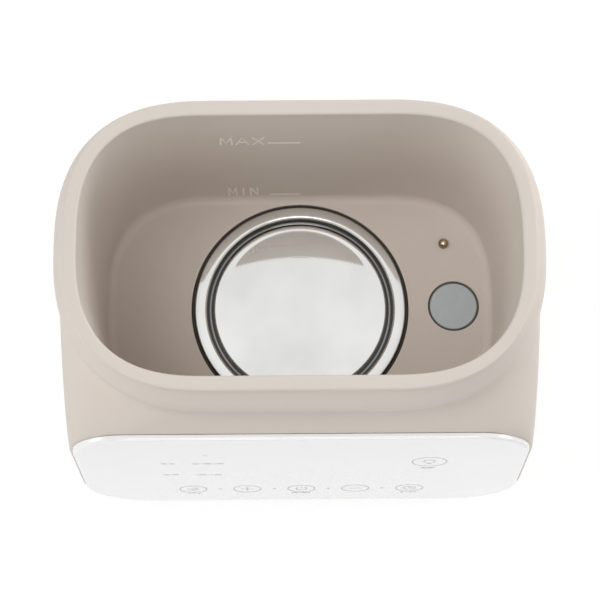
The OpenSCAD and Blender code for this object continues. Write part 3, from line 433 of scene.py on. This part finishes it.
# the collar is upright beside the rim flange and then bulges as a quarter sine of a power
# to its widest line
def bulge(drop):
    s = max(drop - form["rimT"], 0) / (form["collarDrop"] - form["rimT"])
    return np.sin(np.pi / 2 * s ** form["collarPower"])


# how far the collar stands out from the mouth, at the sides and at the front
def flare(drop):
    return mix(form["rimW"], form["collarOut"], bulge(drop))


def flareFront(drop):
    return mix(form["rimW"], form["collarFront"], bulge(drop))


# oval that stands out from the mouth by out, its corners blending from the mouth's squareness
# to the casing's
def ovalRing(hw, front, back, out, z):
    c = (back - front - form["endFlat"]) / 2
    k = np.clip(out / form["collarOut"], 0, 1)
    return planRing(hw, front, back, (c, c), mix(form["mouthFrontPower"], form["frontPower"], k),
                    (c, c), mix(form["mouthPower"], form["backPower"], k), z)


# collar outline at a drop, drawn in by inset
def collarRing(side, front, drop, inset):
    return ovalRing(form["mouthW"] / 2 + side - inset, mouthFront - front + inset,
                    mouthBack + side - inset, side, form["rimZ"] - drop)


# shoulder: the oval neck eases into the squared body while the flat face grows from its rounded top;
# at the front the neck is upright down to the shoulder's drop and then slopes straight out to the face
def shoulderRing(t, inset):
    neckDrop = form["collarDrop"] + form["stepH"]
    drop = mix(neckDrop, form["cornerDrop"], t)
    z = form["rimZ"] - drop
    u = min((drop - neckDrop) / (form["faceDrop"] - neckDrop), 1)
    hw = mix(form["mouthW"] / 2 + form["collarOut"] - form["stepIn"], form["bodyW"] / 2, ease(t))
    slope = np.clip((drop - form["shoulderDrop"]) / (form["faceDrop"] - form["shoulderDrop"]), 0, 1)
    front = mix(neckFront, faceY(faceTopZ), slope) if drop < form["faceDrop"] else faceY(z)
    d = np.clip(drop - form["faceDrop"], 0, form["faceR"])
    faceHalf = form["bodyW"] / 2 - form["frontCorner"] - form["faceR"]
    faceHalf += np.sqrt(form["faceR"] ** 2 - (form["faceR"] - d) ** 2)
    cx = mix(neckCorner, hw - faceHalf, u)
    cy = mix(form["frontCorner"], neckCorner, (1 - t) ** form["cornerEase"])
    corner = (max(cx - inset, form["leastCorner"]), max(cy - inset, form["leastCorner"]))
    c = neckCorner - inset
    return planRing(hw - inset, front + inset, backY - inset, corner,
                    mix(form["frontPower"], roundPower, t), (c, c), form["backPower"], z)


# body outline at a height, its sides and back drawn in
def bodyRing(z, drawIn, inset):
    c, f = neckCorner - drawIn - inset, max(form["frontCorner"] - inset, form["leastCorner"])
    return planRing(form["bodyW"] / 2 - drawIn - inset, faceY(z) + inset, backY - drawIn - inset,
                    (f, f), roundPower, (c, c), form["backPower"], z)


# the rounded lower edge, as a quarter circle of rings
def bottomRings(r, z0, inset, steps):
    a = quarterTurn(steps)
    return [bodyRing(z0 + r * (1 - np.cos(q)), r * (1 - np.sin(q)), inset) for q in a]


# points given on the front face (x right, y up from the panel's top edge, z outward) to the part's frame
def onFace(p):
    lean = np.radians(form["faceLean"])
    topZ = faceTopZ - form["panelTopGap"] * np.cos(lean)
    axes = np.array([[1, 0, 0], [0, np.sin(lean), np.cos(lean)], [0, -np.cos(lean), np.sin(lean)]])
    return np.array([0, faceY(topZ), topZ]) + np.asarray(p, float) @ axes


casingSet = {
    "windowW": 140.0, "windowH": 74.0, "windowR": 6.0, "windowY": 59.0,
    "windowCut": (-6, 3), "windowSteps": 8,
    "glandX": -24.0, "glandZ": 39.0, "glandHole": 10.6, "glandCut": (4, -6), "glandSides": 40,
    "fold": 1.0, "foldFrom": 4.0, "foldTo": 31.0,                     # softened fold, in drops
    "edge": 2.6, "edgeFrom": 25.0, "edgeTo": 46.0, "edgeX": 68.0,     # softened corners beside the face
    "fade": 4.0, "edgeFade": 12.0,
    "outerSteps": 150, "filletSteps": 13,
    "collarSteps": 8, "shoulderSteps": 16, "shoulderGather": 1.5, "innerFilletSteps": 9,
}


# outer outline at a drop: collar, the quarter ellipse of the step, then the shoulder
def outerRing(drop):
    d = drop - form["collarDrop"]
    if d <= 0:
        return collarRing(flare(drop), flareFront(drop), drop, 0)
    if d < form["stepH"]:
        k = 1 - np.sqrt(1 - (d / form["stepH"]) ** 2)
        side = form["collarOut"] - form["stepIn"] * k
        return collarRing(side, form["collarFront"] - form["stepFront"] * k, drop, 0)
    return shoulderRing((d - form["stepH"]) / (form["cornerDrop"] - form["collarDrop"] - form["stepH"]), 0)


# one between two drops, fading to zero at either end
def band(drops, start, end, fade):
    return ease(np.clip((drops - start) / fade, 0, 1)) * ease(np.clip((end - drops) / fade, 0, 1))


# each ring moves, by its part, to the bell-weighted mean of the rings within reach
def soften(rings, drops, reach, part):
    weight = np.exp(-((drops[:, None] - drops) / reach) ** 2 / 2)
    mean = np.tensordot(weight / weight.sum(1, keepdims=True), rings, 1)
    return mix(rings, mean, part[..., None])


# outer surface from the body's corner up to the seam, soft in the fold under the collar
# and at the corners beside the face
def outerRings(drops, s):
    rings = np.stack([outerRing(d) for d in drops])
    fold = band(drops, s["foldFrom"], s["foldTo"], s["fade"])[:, None]
    rings = soften(rings, drops, s["fold"], fold)
    aside = ease(np.clip((np.abs(rings[..., 0]) - s["edgeX"]) / s["edgeFade"], 0, 1))
    edge = band(drops, s["edgeFrom"], s["edgeTo"], s["fade"])[:, None]
    return soften(rings, drops, s["edge"], edge * aside)


# the window behind the panel, drawn in by inset, at a height off the face
def windowRing(inset, z, s=casingSet):
    r = (s["windowR"] - inset,) * 2
    low = -s["windowY"] - s["windowH"] / 2 + inset
    high = -s["windowY"] + s["windowH"] / 2 - inset
    ring = planRing(s["windowW"] / 2 - inset, low, high, r, roundPower, r, roundPower, z, s["windowSteps"])
    return onFace(ring)


def makeCasing(s):
    w, fillet, lowZ = form["wall"], form["bottomFillet"], form["bottomZ"]
    drops = np.linspace(form["cornerDrop"], form["rimT"] + form["seam"], s["outerSteps"])
    outside = bottomRings(fillet, lowZ, 0, s["filletSteps"])
    outside += list(outerRings(drops, s))
    outside.append(collarRing(form["rimW"], form["rimW"], form["rimT"], form["seam"]))
    collarDrops = np.linspace(form["rimT"], form["collarDrop"], s["collarSteps"])
    inside = [collarRing(flare(d), flareFront(d), d, w) for d in collarDrops]
    inside += [shoulderRing(t, w) for t in np.linspace(0, 1, s["shoulderSteps"]) ** s["shoulderGather"]]
    inside += bottomRings(fillet - w, lowZ + w, w, s["innerFilletSteps"])[::-1]
    half = form["bodyW"] / 2 - fillet - form["ledge"]
    front = faceY(lowZ) + w + form["ledge"]
    back = backY - fillet - form["ledge"]
    c = (form["openingCorner"],) * 2
    opening = [planRing(half, front, back, c, roundPower, c, roundPower, z) for z in (lowZ + w, lowZ)]
    obj = meshObject("outerCasing", [skin(outside + inside + opening, joinEnds=True)])
    window = [windowRing(0, z) for z in s["windowCut"]]
    around = circlePath(s["glandX"], s["glandZ"], s["glandHole"] / 2, count=s["glandSides"])
    bore = [np.insert(around, 1, backY + reach, axis=1) for reach in s["glandCut"]]
    cutOut(obj, [meshObject("windowTool", [skin(window)]), meshObject("glandTool", [skin(bore)])])
    settle(obj, "casing", nodes=["outer_casing"])


makeCasing(casingSet)

plateCentre = (0.0, form["tankY"] - 2.0)
lensCentre = (66.7, form["tankY"] - 1.2)
probeCentre = (62.9, form["tankY"] + 26.8)
tankSet = {
    "depth": 100.0, "wall": 2.4, "floorT": 3.0, "sideDraft": 3.0, "backDraft": 3.6, "frontDraft": 0.5,
    "floorFillet": 4.0, "underFillet": 2.0, "plateHole": 47.2, "lensHole": 11.1, "probeHole": 1.8,
    "cutUnder": 4.0, "cutOver": 12.0, "bossR": 4.0,
    "pillarX": (-54.0, 54.0), "pillarY": (-40.0, 20.0),
    "lugR": 54.8, "lugZ": 34.7, "lugAngles": (45, 135, 225, 315),
    "hangX": -69.25, "hangY": (-37.0, 25.0), "hangR": 3.0, "hangL": 3.0,
    "earY": (-18.4, 18.4), "earZ": 34.6,
    "bendSteps": 10, "rimSteps": 8, "plateSides": 180, "lensSides": 96, "probeSides": 32,
}
floorZ = form["rimZ"] - tankSet["depth"]


# tank section at a drop, grown outward, with drafted walls
def tankRing(side, front, drop, s=tankSet):
    k = drop / s["depth"]
    return ovalRing(form["mouthW"] / 2 - s["sideDraft"] * k + side, mouthFront + s["frontDraft"] * k - front,
                    mouthBack - s["backDraft"] * k + side, side, form["rimZ"] - drop)


def makeTank(s):
    bend, rimBend = quarterTurn(s["bendSteps"]), quarterTurn(s["rimSteps"])
    rimW, seam = form["rimW"], form["seam"]
    rings = []
    for a in bend:                                   # underside edge
        o = s["wall"] - s["underFillet"] * (1 - np.sin(a))
        rings.append(tankRing(o, o, s["depth"] + s["floorT"] - s["underFillet"] * (1 - np.cos(a))))
    rings.append(tankRing(s["wall"], s["wall"], form["rimT"]))
    rings.append(tankRing(rimW - seam, rimW - seam, form["rimT"]))
    rings.append(tankRing(rimW, rimW, form["rimT"] - seam))
    for a in rimBend:                                # outer edge of the rim
        d, o = form["rimRound"] * (1 - np.sin(a)), form["rimRound"] * (1 - np.cos(a))
        rings.append(tankRing(flare(d) - o, flareFront(d) - o, d))
    for a in rimBend[::-1]:                          # inner edge of the rim
        o = form["rimRound"] * (1 - np.cos(a))
        rings.append(tankRing(o, o, form["rimRound"] * (1 - np.sin(a))))
    for a in bend:                                   # fillet at the floor
        o = -s["floorFillet"] * (1 - np.cos(a))
        rings.append(tankRing(o, o, s["depth"] - s["floorFillet"] * (1 - np.sin(a))))
    obj = meshObject("waterTank", [skin(rings)])
    low, high = floorZ - s["floorT"] - s["cutUnder"], floorZ + s["cutOver"]
    centres = {"plate": plateCentre, "lens": lensCentre, "probe": probeCentre}
    cutOut(obj, [meshObject(name + "Tool", [rod(centre, s[name + "Hole"], low, high, s[name + "Sides"])])
                 for name, centre in centres.items()])
    top = floorZ - s["floorT"] / 2
    bosses = [rod((x, plateCentre[1] + y), s["bossR"], form["bottomZ"], top)
              for x in s["pillarX"] for y in s["pillarY"]]
    for a in np.radians(s["lugAngles"]):
        place = (s["lugR"] * np.cos(a), plateCentre[1] + s["lugR"] * np.sin(a))
        bosses.append(rod(place, s["bossR"], s["lugZ"], top))
    hangZ = floorZ - s["floorT"] - s["hangL"]
    bosses += [rod((s["hangX"], form["tankY"] + y), s["hangR"], hangZ, top) for y in s["hangY"]]
    bosses += [rod((lensCentre[0], lensCentre[1] + y), s["bossR"], s["earZ"], top) for y in s["earY"]]
    addParts(obj, bosses)
    settle(obj, "tank", nodes=["water_tank"])


makeTank(tankSet)

panelSet = {
    "w": 184.5, "h": 102.49, "t": 2.4, "r": 23.0, "lowR": 27.0, "edge": 1.4, "gapIn": 0.2, "gapT": 0.12,
    "ribT": 1.4, "ribClear": 0.3, "ribTop": -0.02,
    "bossX": (-62.0, 62.0), "bossY": (-29.0, 29.0), "bossR": 3.0, "bossL": 8.0, "bossIn": 0.5,
    "edgeSteps": 9, "cornerSteps": 24, "bossSides": 24,
    # painted shade on the edge: levels by height above the casing's face
    "edgePaintedShades": [(0.0, 0.87), (1.9, 0.88), (2.3, 1.0), (2.4, 1.0)],
}


# painted shade: the panel's edge is a little darker than its face, by the height above the casing's face
def paintEdgeShade(mat, paintedShades):
    tree = mat.node_tree
    start = onFace((0, 0, 0))
    out = onFace((0, 0, 1)) - start
    coord = addNode(tree, "ShaderNodeTexCoord")
    height = addNode(tree, "ShaderNodeVectorMath", operation="DOT_PRODUCT")
    height.inputs[1].default_value = out
    tree.links.new(coord.outputs["Object"], height.inputs[0])
    paintedShades = [(start @ out + h, level) for h, level in paintedShades]
    addShades(tree, tree.nodes["Principled BSDF"], height.outputs["Value"], paintedShades)


# plate with a rounded edge, a shadow gap along the casing, a rib in the window and bosses behind
def makePanel(s):
    def plateRing(i, z):
        low, high = (s["lowR"] - i,) * 2, (s["r"] - i,) * 2
        ring = planRing(s["w"] / 2 - i, i - s["h"], -i, low, roundPower, high, roundPower, z,
                        s["cornerSteps"])
        return onFace(ring)
    a = quarterTurn(s["edgeSteps"])
    insets = np.r_[s["gapIn"], s["gapIn"], 0, s["edge"] * (1 - np.cos(a))]
    heights = np.r_[0, s["gapT"], s["gapT"], s["t"] - s["edge"] * (1 - np.sin(a))]
    rings = [plateRing(i, z) for i, z in zip(insets, heights)]
    outer, inner = s["ribClear"], s["ribClear"] + s["ribT"]
    low, high = -form["wall"], s["ribTop"]
    rib = [windowRing(i, z) for i, z in ((outer, low), (outer, high), (inner, high), (inner, low))]
    bosses = []
    for x in s["bossX"]:
        for y in s["bossY"]:
            place = (x, y - casingSet["windowY"])
            p, quads, ends = rod(place, s["bossR"], -s["bossL"], s["bossIn"], s["bossSides"])
            bosses.append((onFace(p), quads, ends))
    # painted shade on the panel's edge
    paintEdgeShade(finishes["panel"], s["edgePaintedShades"])
    obj = meshObject("frontPanel", [skin(rings), skin(rib, joinEnds=True)] + bosses)
    settle(obj, "panel", nodes=["front_panel"])


makePanel(panelSet)


# smooth curve through knots: cubic with slopes taken from the neighbours
def throughKnots(knots, count):
    k = np.asarray(knots, float)
    slope = np.gradient(k, axis=0)
    t = np.linspace(0, len(k) - 1, count)
    i = np.minimum(t.astype(int), len(k) - 2)
    f = (t - i)[:, None]
    start = (2 * f**3 - 3 * f**2 + 1) * k[i] + (f**3 - 2 * f**2 + f) * slope[i]
    return start + (3 * f**2 - 2 * f**3) * k[i + 1] + (f**3 - f**2) * slope[i + 1]


plateSet = {
    "r": 45.7, "sheet": 0.8, "ringW": 5.2, "ringH": 1.2, "ringEdge": 0.75, "bendR": 0.6, "bendDrop": 0.7,
    "grooveW": 3.1, "grooveD": 1.3, "crownIn": 0.5,
    "discH": 0.6, "discIn": 0.6, "domeH": 0.9, "domePower": 4.0, "lipR": 34.2, "lipH": 0.25,
    "flangeZ": 35.5, "flangeR": 50.5,
    # the groove's knots: an offset outward from one of three radii, and one upward from a level
    "grooveKnots": [("ring", 0.5, "edge", 0.0), ("ring", 0.05, "edge", -0.35), ("ring", -0.3, "floor", -0.35),
                    ("mid", 0.45, "low", 0.0), ("mid", 0.0, "low", -0.02), ("mid", -0.45, "low", 0.0),
                    ("disc", 0.3, "floor", -0.35), ("disc", 0.0, "top", -0.1), ("disc", -0.45, "top", 0.27)],
    # painted shade by radius: the groove is darkened, less so along its bottom as a painted reflection, and
    # the outer edge is darkened too
    "paintedShades": [(36.7, 1.0), (37.4, 0.5), (37.9, 0.28), (38.6, 0.28), (39.0, 0.38), (39.4, 0.28),
               (40.1, 0.26), (40.4, 0.5), (40.8, 1.0), (43.6, 1.0), (44.9, 0.9), (45.6, 0.7)],
    "colour": (0.775, 0.775, 0.755), "roughness": 0.055, "strength": 0.1,
    "bendSteps": 8, "crownSteps": 20, "grooveSteps": 64, "domeSteps": 90, "sides": 192, "sharp": 50,
}


# pressed plate: flange, wall, flat raised ring, steep groove and a disc of height
# dome * (1 - (r/R)^power), with a low lip
def makePlate(s):
    finishes["plate"] = turnedMetal("turnedSteel", s["colour"], s["roughness"], plateCentre, s["strength"],
                                    s["paintedShades"])
    outR, sheet, flangeZ = s["r"], s["sheet"], s["flangeZ"]
    ringIn = outR - s["ringW"]
    discR = ringIn - s["grooveW"]
    edgeZ = floorZ + s["ringH"] * s["ringEdge"]
    discZ = floorZ + s["discH"]
    side = [(s["flangeR"], flangeZ), (outR + sheet, flangeZ), (outR, flangeZ + sheet),
            (outR, edgeZ - s["bendDrop"])]
    a = quarterTurn(s["bendSteps"])
    bend = np.stack([outR - s["bendR"] * (1 - np.cos(a)), edgeZ - s["bendR"] * (1 - np.sin(a))], -1)
    k = np.linspace(1, 0, s["crownSteps"])[1:]
    crown = np.stack([mix(ringIn + s["crownIn"], outR - s["bendR"], k),
                      mix(edgeZ, floorZ + s["ringH"], np.sin(np.pi * np.sqrt(k)))], -1)
    radius = {"ring": ringIn, "mid": (ringIn + discR) / 2, "disc": discR}
    level = {"edge": edgeZ, "floor": floorZ, "low": floorZ - s["grooveD"], "top": discZ}
    knots = [(radius[where] + out, level[height] + up) for where, out, height, up in s["grooveKnots"]]
    groove = throughKnots(knots, s["grooveSteps"])
    r = np.linspace(discR - s["discIn"], 0, s["domeSteps"])
    lip = s["lipH"] * ease(np.clip((r - s["lipR"]) / (r[0] - s["lipR"]), 0, 1))
    dome = np.stack([r, discZ + lip + s["domeH"] * (1 - (r / discR) ** s["domePower"])], -1)
    top = np.concatenate([side, bend, crown, groove[1:], dome])
    lowR = np.minimum(top[:, 0], outR - sheet)
    lowR[:2] = top[:2, 0] - [0, sheet]
    under = np.stack([lowR, top[:, 1] - sheet], -1)[::-1]
    under[-2:, 1] = flangeZ - sheet
    profile = np.concatenate([under, top])
    obj = meshObject("heatingPlate", [lathe(profile, plateCentre, s["sides"])])
    settle(obj, "plate", sharp=s["sharp"], nodes=["heating_plate"])


makePlate(plateSet)

lensSet = {"r": 10.2, "edge": 0.5, "flangeR": 12.8, "flangeT": 1.6, "sealT": 0.8,
           "edgeSteps": 7, "sides": 96}


# lens: a disc with a rounded edge over its hidden flange
def makeLens(s):
    z0 = floorZ - tankSet["floorT"] - s["sealT"]
    a = quarterTurn(s["edgeSteps"])
    edge = np.stack([s["r"] - s["edge"] * (1 - np.cos(a)), floorZ - s["edge"] * (1 - np.sin(a))], -1)
    low = [(0, z0 - s["flangeT"]), (s["flangeR"], z0 - s["flangeT"]), (s["flangeR"], z0), (s["r"], z0)]
    profile = np.concatenate([low, edge, [(0, floorZ)]])
    obj = meshObject("lampLens", [lathe(profile, lensCentre, s["sides"])])
    settle(obj, "lens", nodes=["lamp_lens"])


makeLens(lensSet)

# painted shade and painted dark reflection on the brass: its colour is kept at the crown and darkened towards
# its foot; the pairs give a radius and a level
probeSet = {"r": 2.2, "foot": 0.88, "stemR": 1.5, "stemL": 10.0,
            "paintedShades": [(0.5, 1.0), (1.2, 0.5), (1.8, 0.34), (2.2, 0.3)],
            "colour": (0.92, 0.78, 0.54), "roughness": 0.12, "strength": 0.06,
            "domeSteps": 13, "sides": 48}


# probe: a half ball on a short collar, with its stem through the floor
def makeProbe(s):
    finishes["probe"] = turnedMetal("brassProbe", s["colour"], s["roughness"], probeCentre, s["strength"],
                                    s["paintedShades"])
    a = quarterTurn(s["domeSteps"])
    dome = np.stack([s["r"] * np.cos(a), floorZ + s["foot"] + s["r"] * np.sin(a)], -1)
    lowZ = floorZ - s["stemL"]
    low = [(0, lowZ), (s["stemR"], lowZ), (s["stemR"], floorZ), (s["r"], floorZ)]
    profile = np.concatenate([low, dome])
    obj = meshObject("temperatureProbe", [lathe(profile, probeCentre, s["sides"])])
    settle(obj, "probe", nodes=["temperature_probe"])


makeProbe(probeSet)


# stroke: a flat bar of some width carried along a path of (x, y), from height z0 to z1
def stroke(path, width, z0, z1, closed=False):
    p = np.asarray(path, float)
    if closed:
        d = np.roll(p, -1, 0) - np.roll(p, 1, 0)
    else:
        d = np.gradient(p, axis=0)
    side = np.stack([-d[:, 1], d[:, 0]], -1) / np.linalg.norm(d, axis=1, keepdims=True) * width / 2
    left, right = p + side, p - side
    flat = np.stack([left, right, right, left], 1)
    level = np.broadcast_to(np.array([z0, z0, z1, z1])[None, :, None], (len(p), 4, 1))
    return skin(np.concatenate([flat, level], -1), joinEnds=closed)


# plain signs as open paths on a unit cell, one wide and one high
roundSign = [[(.5, 1), (.1, .75), (.1, .25), (.5, 0), (.9, .25), (.9, .75), (.5, 1)]]
signs = {
    "0": roundSign,
    "1": [[(.25, .75), (.55, 1), (.55, 0)]],
    "2": [[(.1, .8), (.35, 1), (.7, 1), (.9, .75), (.1, 0), (.9, 0)]],
    "4": [[(.7, 0), (.7, 1), (.1, .3), (.95, .3)]],
    "5": [[(.85, 1), (.2, 1), (.15, .55), (.6, .6), (.9, .3), (.6, 0), (.1, .05)]],
    "7": [[(.1, 1), (.9, 1), (.4, 0)]],
    "-": [[(.2, .5), (.8, .5)]],
    "/": [[(.2, 0), (.8, 1)]],
    "O": roundSign,
    "N": [[(.1, 0), (.1, 1)], [(.1, 1), (.9, 0)], [(.9, 0), (.9, 1)]],
    "F": [[(.15, 0), (.15, 1)], [(.15, 1), (.9, 1)], [(.15, .52), (.75, .52)]],
    "M": [[(.05, 0), (.1, 1)], [(.1, 1), (.5, .25), (.9, 1)], [(.9, 1), (.95, 0)]],
    "A": [[(.0, 0), (.5, 1), (1, 0)], [(.18, .35), (.82, .35)]],
    "X": [[(.05, 0), (.95, 1)], [(.05, 1), (.95, 0)]],
    "I": [[(.5, 0), (.5, 1)]],
}


# a row of signs inside a box, as strokes
def signRow(text, x0, x1, y0, y1, width, z0, z1, gap=0.25):
    cell = (x1 - x0) / (len(text) + gap * (len(text) - 1))
    parts = []
    for i, letter in enumerate(text):
        left = x0 + i * cell * (1 + gap)
        for path in signs[letter]:
            p = np.array(path) * [cell, y1 - y0] + [left, y0]
            parts.append(stroke(p, width, z0, z1))
    return parts


# raised level marks on the back wall, lighter by painted highlight: x right, height up the drafted wall,
# thickness towards the front
markSet = {"lift": 0.12, "sink": -0.15, "width": 0.75, "lineWidth": 0.8,
           "upper": {"word": "MAX", "box": (-32.3, -13.9, 25.4, 33.6), "line": (-12.6, 0.6, 31.8)},
           "lower": {"word": "MIN", "box": (-30.9, -17.8, 86.5, 96.6), "line": (-12.9, 0.4, 95.5)}}


def makeMarks(s):
    def onWall(part):
        p, quads, ends = part
        drop = -p[:, 1]
        wallY = mouthBack - tankSet["backDraft"] * drop / tankSet["depth"]
        return np.stack([p[:, 0], wallY - p[:, 2], form["rimZ"] - drop], -1), quads, ends
    parts = []
    for row in (s["upper"], s["lower"]):
        x0, x1, d0, d1 = row["box"]
        parts += signRow(row["word"], x0, x1, -d1, -d0, s["width"], s["sink"], s["lift"])
        a, b, d = row["line"]
        parts.append(stroke([(a, -d), (b, -d)], s["lineWidth"], s["sink"], s["lift"]))
    obj = meshObject("levelMarks", [onWall(p) for p in parts])
    addParts(obj)
    settle(obj, "mark")


makeMarks(markSet)

# print on the panel: key rings with plain signs, small figures and dots
printSet = {
    "z0": -0.03, "z1": 0.03, "pitch": 23.3, "rowY": -81.19, "ringR": 5.8, "line": 0.4,
    "lampKey": (52.7, -36.2), "lampR": 7.1, "figureH": 1.5, "figureLine": 0.36,
    "dots": (-1.5, -0.5, 0.5, 1.5), "dotR": 0.35, "dotLine": 0.5,
    "ringSteps": 48, "arcSteps": 40, "dotSteps": 16, "lampSteps": 64,
    # signs from each key's centre: lines by their ends, arcs by centre, radius and angles, rings by radius
    "keySigns": [
        [("line", x0, dy, x1, dy) for dy in (-1.7, 0, 1.7) for x0, x1 in ((-1.0, 2.4), (-2.4, -1.8))],
        [("line", -2.8, 0, 2.8, 0), ("line", 0, -2.8, 0, 2.8)],
        [("arc", 0, -0.2, 2.3, 125, 415), ("line", 0, 0.2, 0, 3.0)],
        [("line", -2.8, 0, 2.8, 0)],
        [("ring", 2.6), ("line", 0, 1.9, 0, 0), ("line", 0, 0, 1.5, 0)],
    ],
    "lampSign": [("arc", 0, 0.6, 2.3, -55, 235), ("line", -1.1, -2.3, 1.1, -2.3),
                 ("line", -0.8, -3.1, 0.8, -3.1)],
    # text, centre and width
    "figures": [("ON/OFF", 52.7, -46.4, 5.6), ("1-4", -46.6, -88.79, 5.6), ("ON/OFF", 0, -88.79, 8.0),
                ("0-24", 46.6, -88.79, 7.3), ("-", -38.8, -23.3, 3.2), ("40-45", -54.9, -36.7, 5.2),
                ("70-100-120", -38.5, -37.2, 13.0), ("45-70", -54.8, -55.3, 6.3),
                ("100-120", -38.9, -55.8, 10.8)],
}


def makePrint(s):
    z0, z1, h = panelSet["t"] + s["z0"], panelSet["t"] + s["z1"], s["figureH"] / 2
    parts = []

    def ring(x, y, r, count=s["ringSteps"], width=s["line"]):
        parts.append(stroke(circlePath(x, y, r, count=count), width, z0, z1, closed=True))

    def drawSign(x, y, sign):
        for kind, *size in sign:
            if kind == "ring":
                ring(x, y, size[0])
            elif kind == "arc":
                path = circlePath(x + size[0], y + size[1], *size[2:], s["arcSteps"])
                parts.append(stroke(path, s["line"], z0, z1))
            else:
                path = np.reshape(size, (2, 2)) + [x, y]
                parts.append(stroke(path, s["line"], z0, z1))

    for i, sign in enumerate(s["keySigns"]):
        x, y = (i - 2) * s["pitch"], s["rowY"]
        ring(x, y, s["ringR"])
        drawSign(x, y, sign)
    for i in s["dots"]:
        ring(i * s["pitch"], s["rowY"], s["dotR"], s["dotSteps"], s["dotLine"])
    ring(*s["lampKey"], s["lampR"], s["lampSteps"])
    drawSign(*s["lampKey"], s["lampSign"])
    for text, x, y, width in s["figures"]:
        parts += signRow(text, x - width / 2, x + width / 2, y - h, y + h, s["figureLine"], z0, z1)
    obj = meshObject("panelPrint", [(onFace(p), quads, ends) for p, quads, ends in parts])
    addParts(obj)
    settle(obj, "ink")


makePrint(printSet)

# nodes that keep their CAD shape get the finish of their slot, or one of their own
ownFinish = {"lens_seal": "lensSeal"}
for part in frame["record"]["subparts"]:
    node = frame["nodes"][part["node"]]
    node.data.materials.clear()
    node.data.materials.append(finishes[ownFinish.get(part["node"], part["material_slot"])])
print("finishes set on CAD nodes")


# one where the ray comes from the camera, a reflection or a clear body, else zero
def seenRay(tree):
    path = addNode(tree, "ShaderNodeLightPath")
    first = addNode(tree, "ShaderNodeMath", operation="MAXIMUM")
    both = addNode(tree, "ShaderNodeMath", operation="MAXIMUM")
    tree.links.new(path.outputs["Is Camera Ray"], first.inputs[0])
    tree.links.new(path.outputs["Is Glossy Ray"], first.inputs[1])
    tree.links.new(first.outputs[0], both.inputs[0])
    tree.links.new(path.outputs["Is Transmission Ray"], both.inputs[1])
    return both.outputs[0]


# soft studio light: two broad lamps above, four lower ones round the sides, and an even surround;
# each lamp has a name, a place and a size in metres, and a power in watts
lightSet = {
    "surround": 0.24,
    "lamps": [("leftHigh", (-0.63, 0.0, 1.46), 0.7, 6.5), ("frontHigh", (0.0, -0.63, 1.46), 0.7, 3.2),
              ("leftLow", (-1.39, 0.0, 0.66), 0.9, 6.1), ("frontLow", (0.0, -1.39, 0.66), 0.9, 3.7),
              ("rightLow", (1.39, 0.0, 0.66), 0.9, 4.4), ("rightBack", (0.98, 0.98, 0.66), 0.9, 11.6)],
    "target": (0.0, 0.0, 0.1),
    "guide": (0.0, 1.0, 0.01),     # a direction that no lamp shines along
    "unseen": ["leftHigh"],        # makes no spot in the steel
}


def makeLights(s):
    for name, place, size, power in s["lamps"]:
        data = bpy.data.lights.new(name, "AREA")
        data.shape, data.size, data.energy = "DISK", size, power
        lamp = bpy.data.objects.new(name, data)
        aim = np.array(s["target"]) - np.array(place)
        back = -aim / np.linalg.norm(aim)
        right = np.cross(s["guide"], back)
        right /= np.linalg.norm(right)
        placeObject(lamp, right, np.cross(back, right), back, place)
        lamp.visible_glossy = name not in s["unseen"]
    world = bpy.data.worlds.new("surround")
    world.use_nodes = True
    tree = world.node_tree
    shade = tree.nodes["Background"]
    shade.inputs["Color"].default_value = (1, 1, 1, 1)
    level = addNode(tree, "ShaderNodeMapRange")
    level.inputs["To Min"].default_value = s["surround"]
    level.inputs["To Max"].default_value = 1.0
    tree.links.new(seenRay(tree), level.inputs["Value"])
    tree.links.new(level.outputs["Result"], shade.inputs["Strength"])
    scene.world = world


makeLights(lightSet)

floorSet = {"half": 6.0, "z": -0.0002, "colour": (0.9, 0.9, 0.9), "shadowPart": 0.15, "glow": 0.89}


# pale floor: diffuse for bounced light, part diffuse and part glow where it is seen, so the shadow stays
def makeFloor(s):
    h, z = s["half"], s["z"]
    mesh = bpy.data.meshes.new("floor")
    mesh.from_pydata([(-h, -h, z), (h, -h, z), (h, h, z), (-h, h, z)], [], [(0, 1, 2, 3)])
    floor = bpy.data.objects.new("floor", mesh)
    scene.collection.objects.link(floor)
    mat = bpy.data.materials.new("paleFloor")
    mat.use_nodes = True
    tree = mat.node_tree
    tree.nodes.remove(tree.nodes["Principled BSDF"])
    plain = addNode(tree, "ShaderNodeBsdfDiffuse")
    plain.inputs["Color"].default_value = (*s["colour"], 1)
    dim = addNode(tree, "ShaderNodeBsdfDiffuse")
    dim.inputs["Color"].default_value = (*[c * s["shadowPart"] for c in s["colour"]], 1)
    glow = addNode(tree, "ShaderNodeEmission")
    glow.inputs["Strength"].default_value = s["glow"]
    both = addNode(tree, "ShaderNodeAddShader")
    pick = addNode(tree, "ShaderNodeMixShader")
    tree.links.new(dim.outputs[0], both.inputs[0])
    tree.links.new(glow.outputs[0], both.inputs[1])
    tree.links.new(seenRay(tree), pick.inputs[0])
    tree.links.new(plain.outputs[0], pick.inputs[1])
    tree.links.new(both.outputs[0], pick.inputs[2])
    tree.links.new(pick.outputs[0], tree.nodes["Material Output"].inputs["Surface"])
    mesh.materials.append(mat)


makeFloor(floorSet)
print("lights and floor placed")
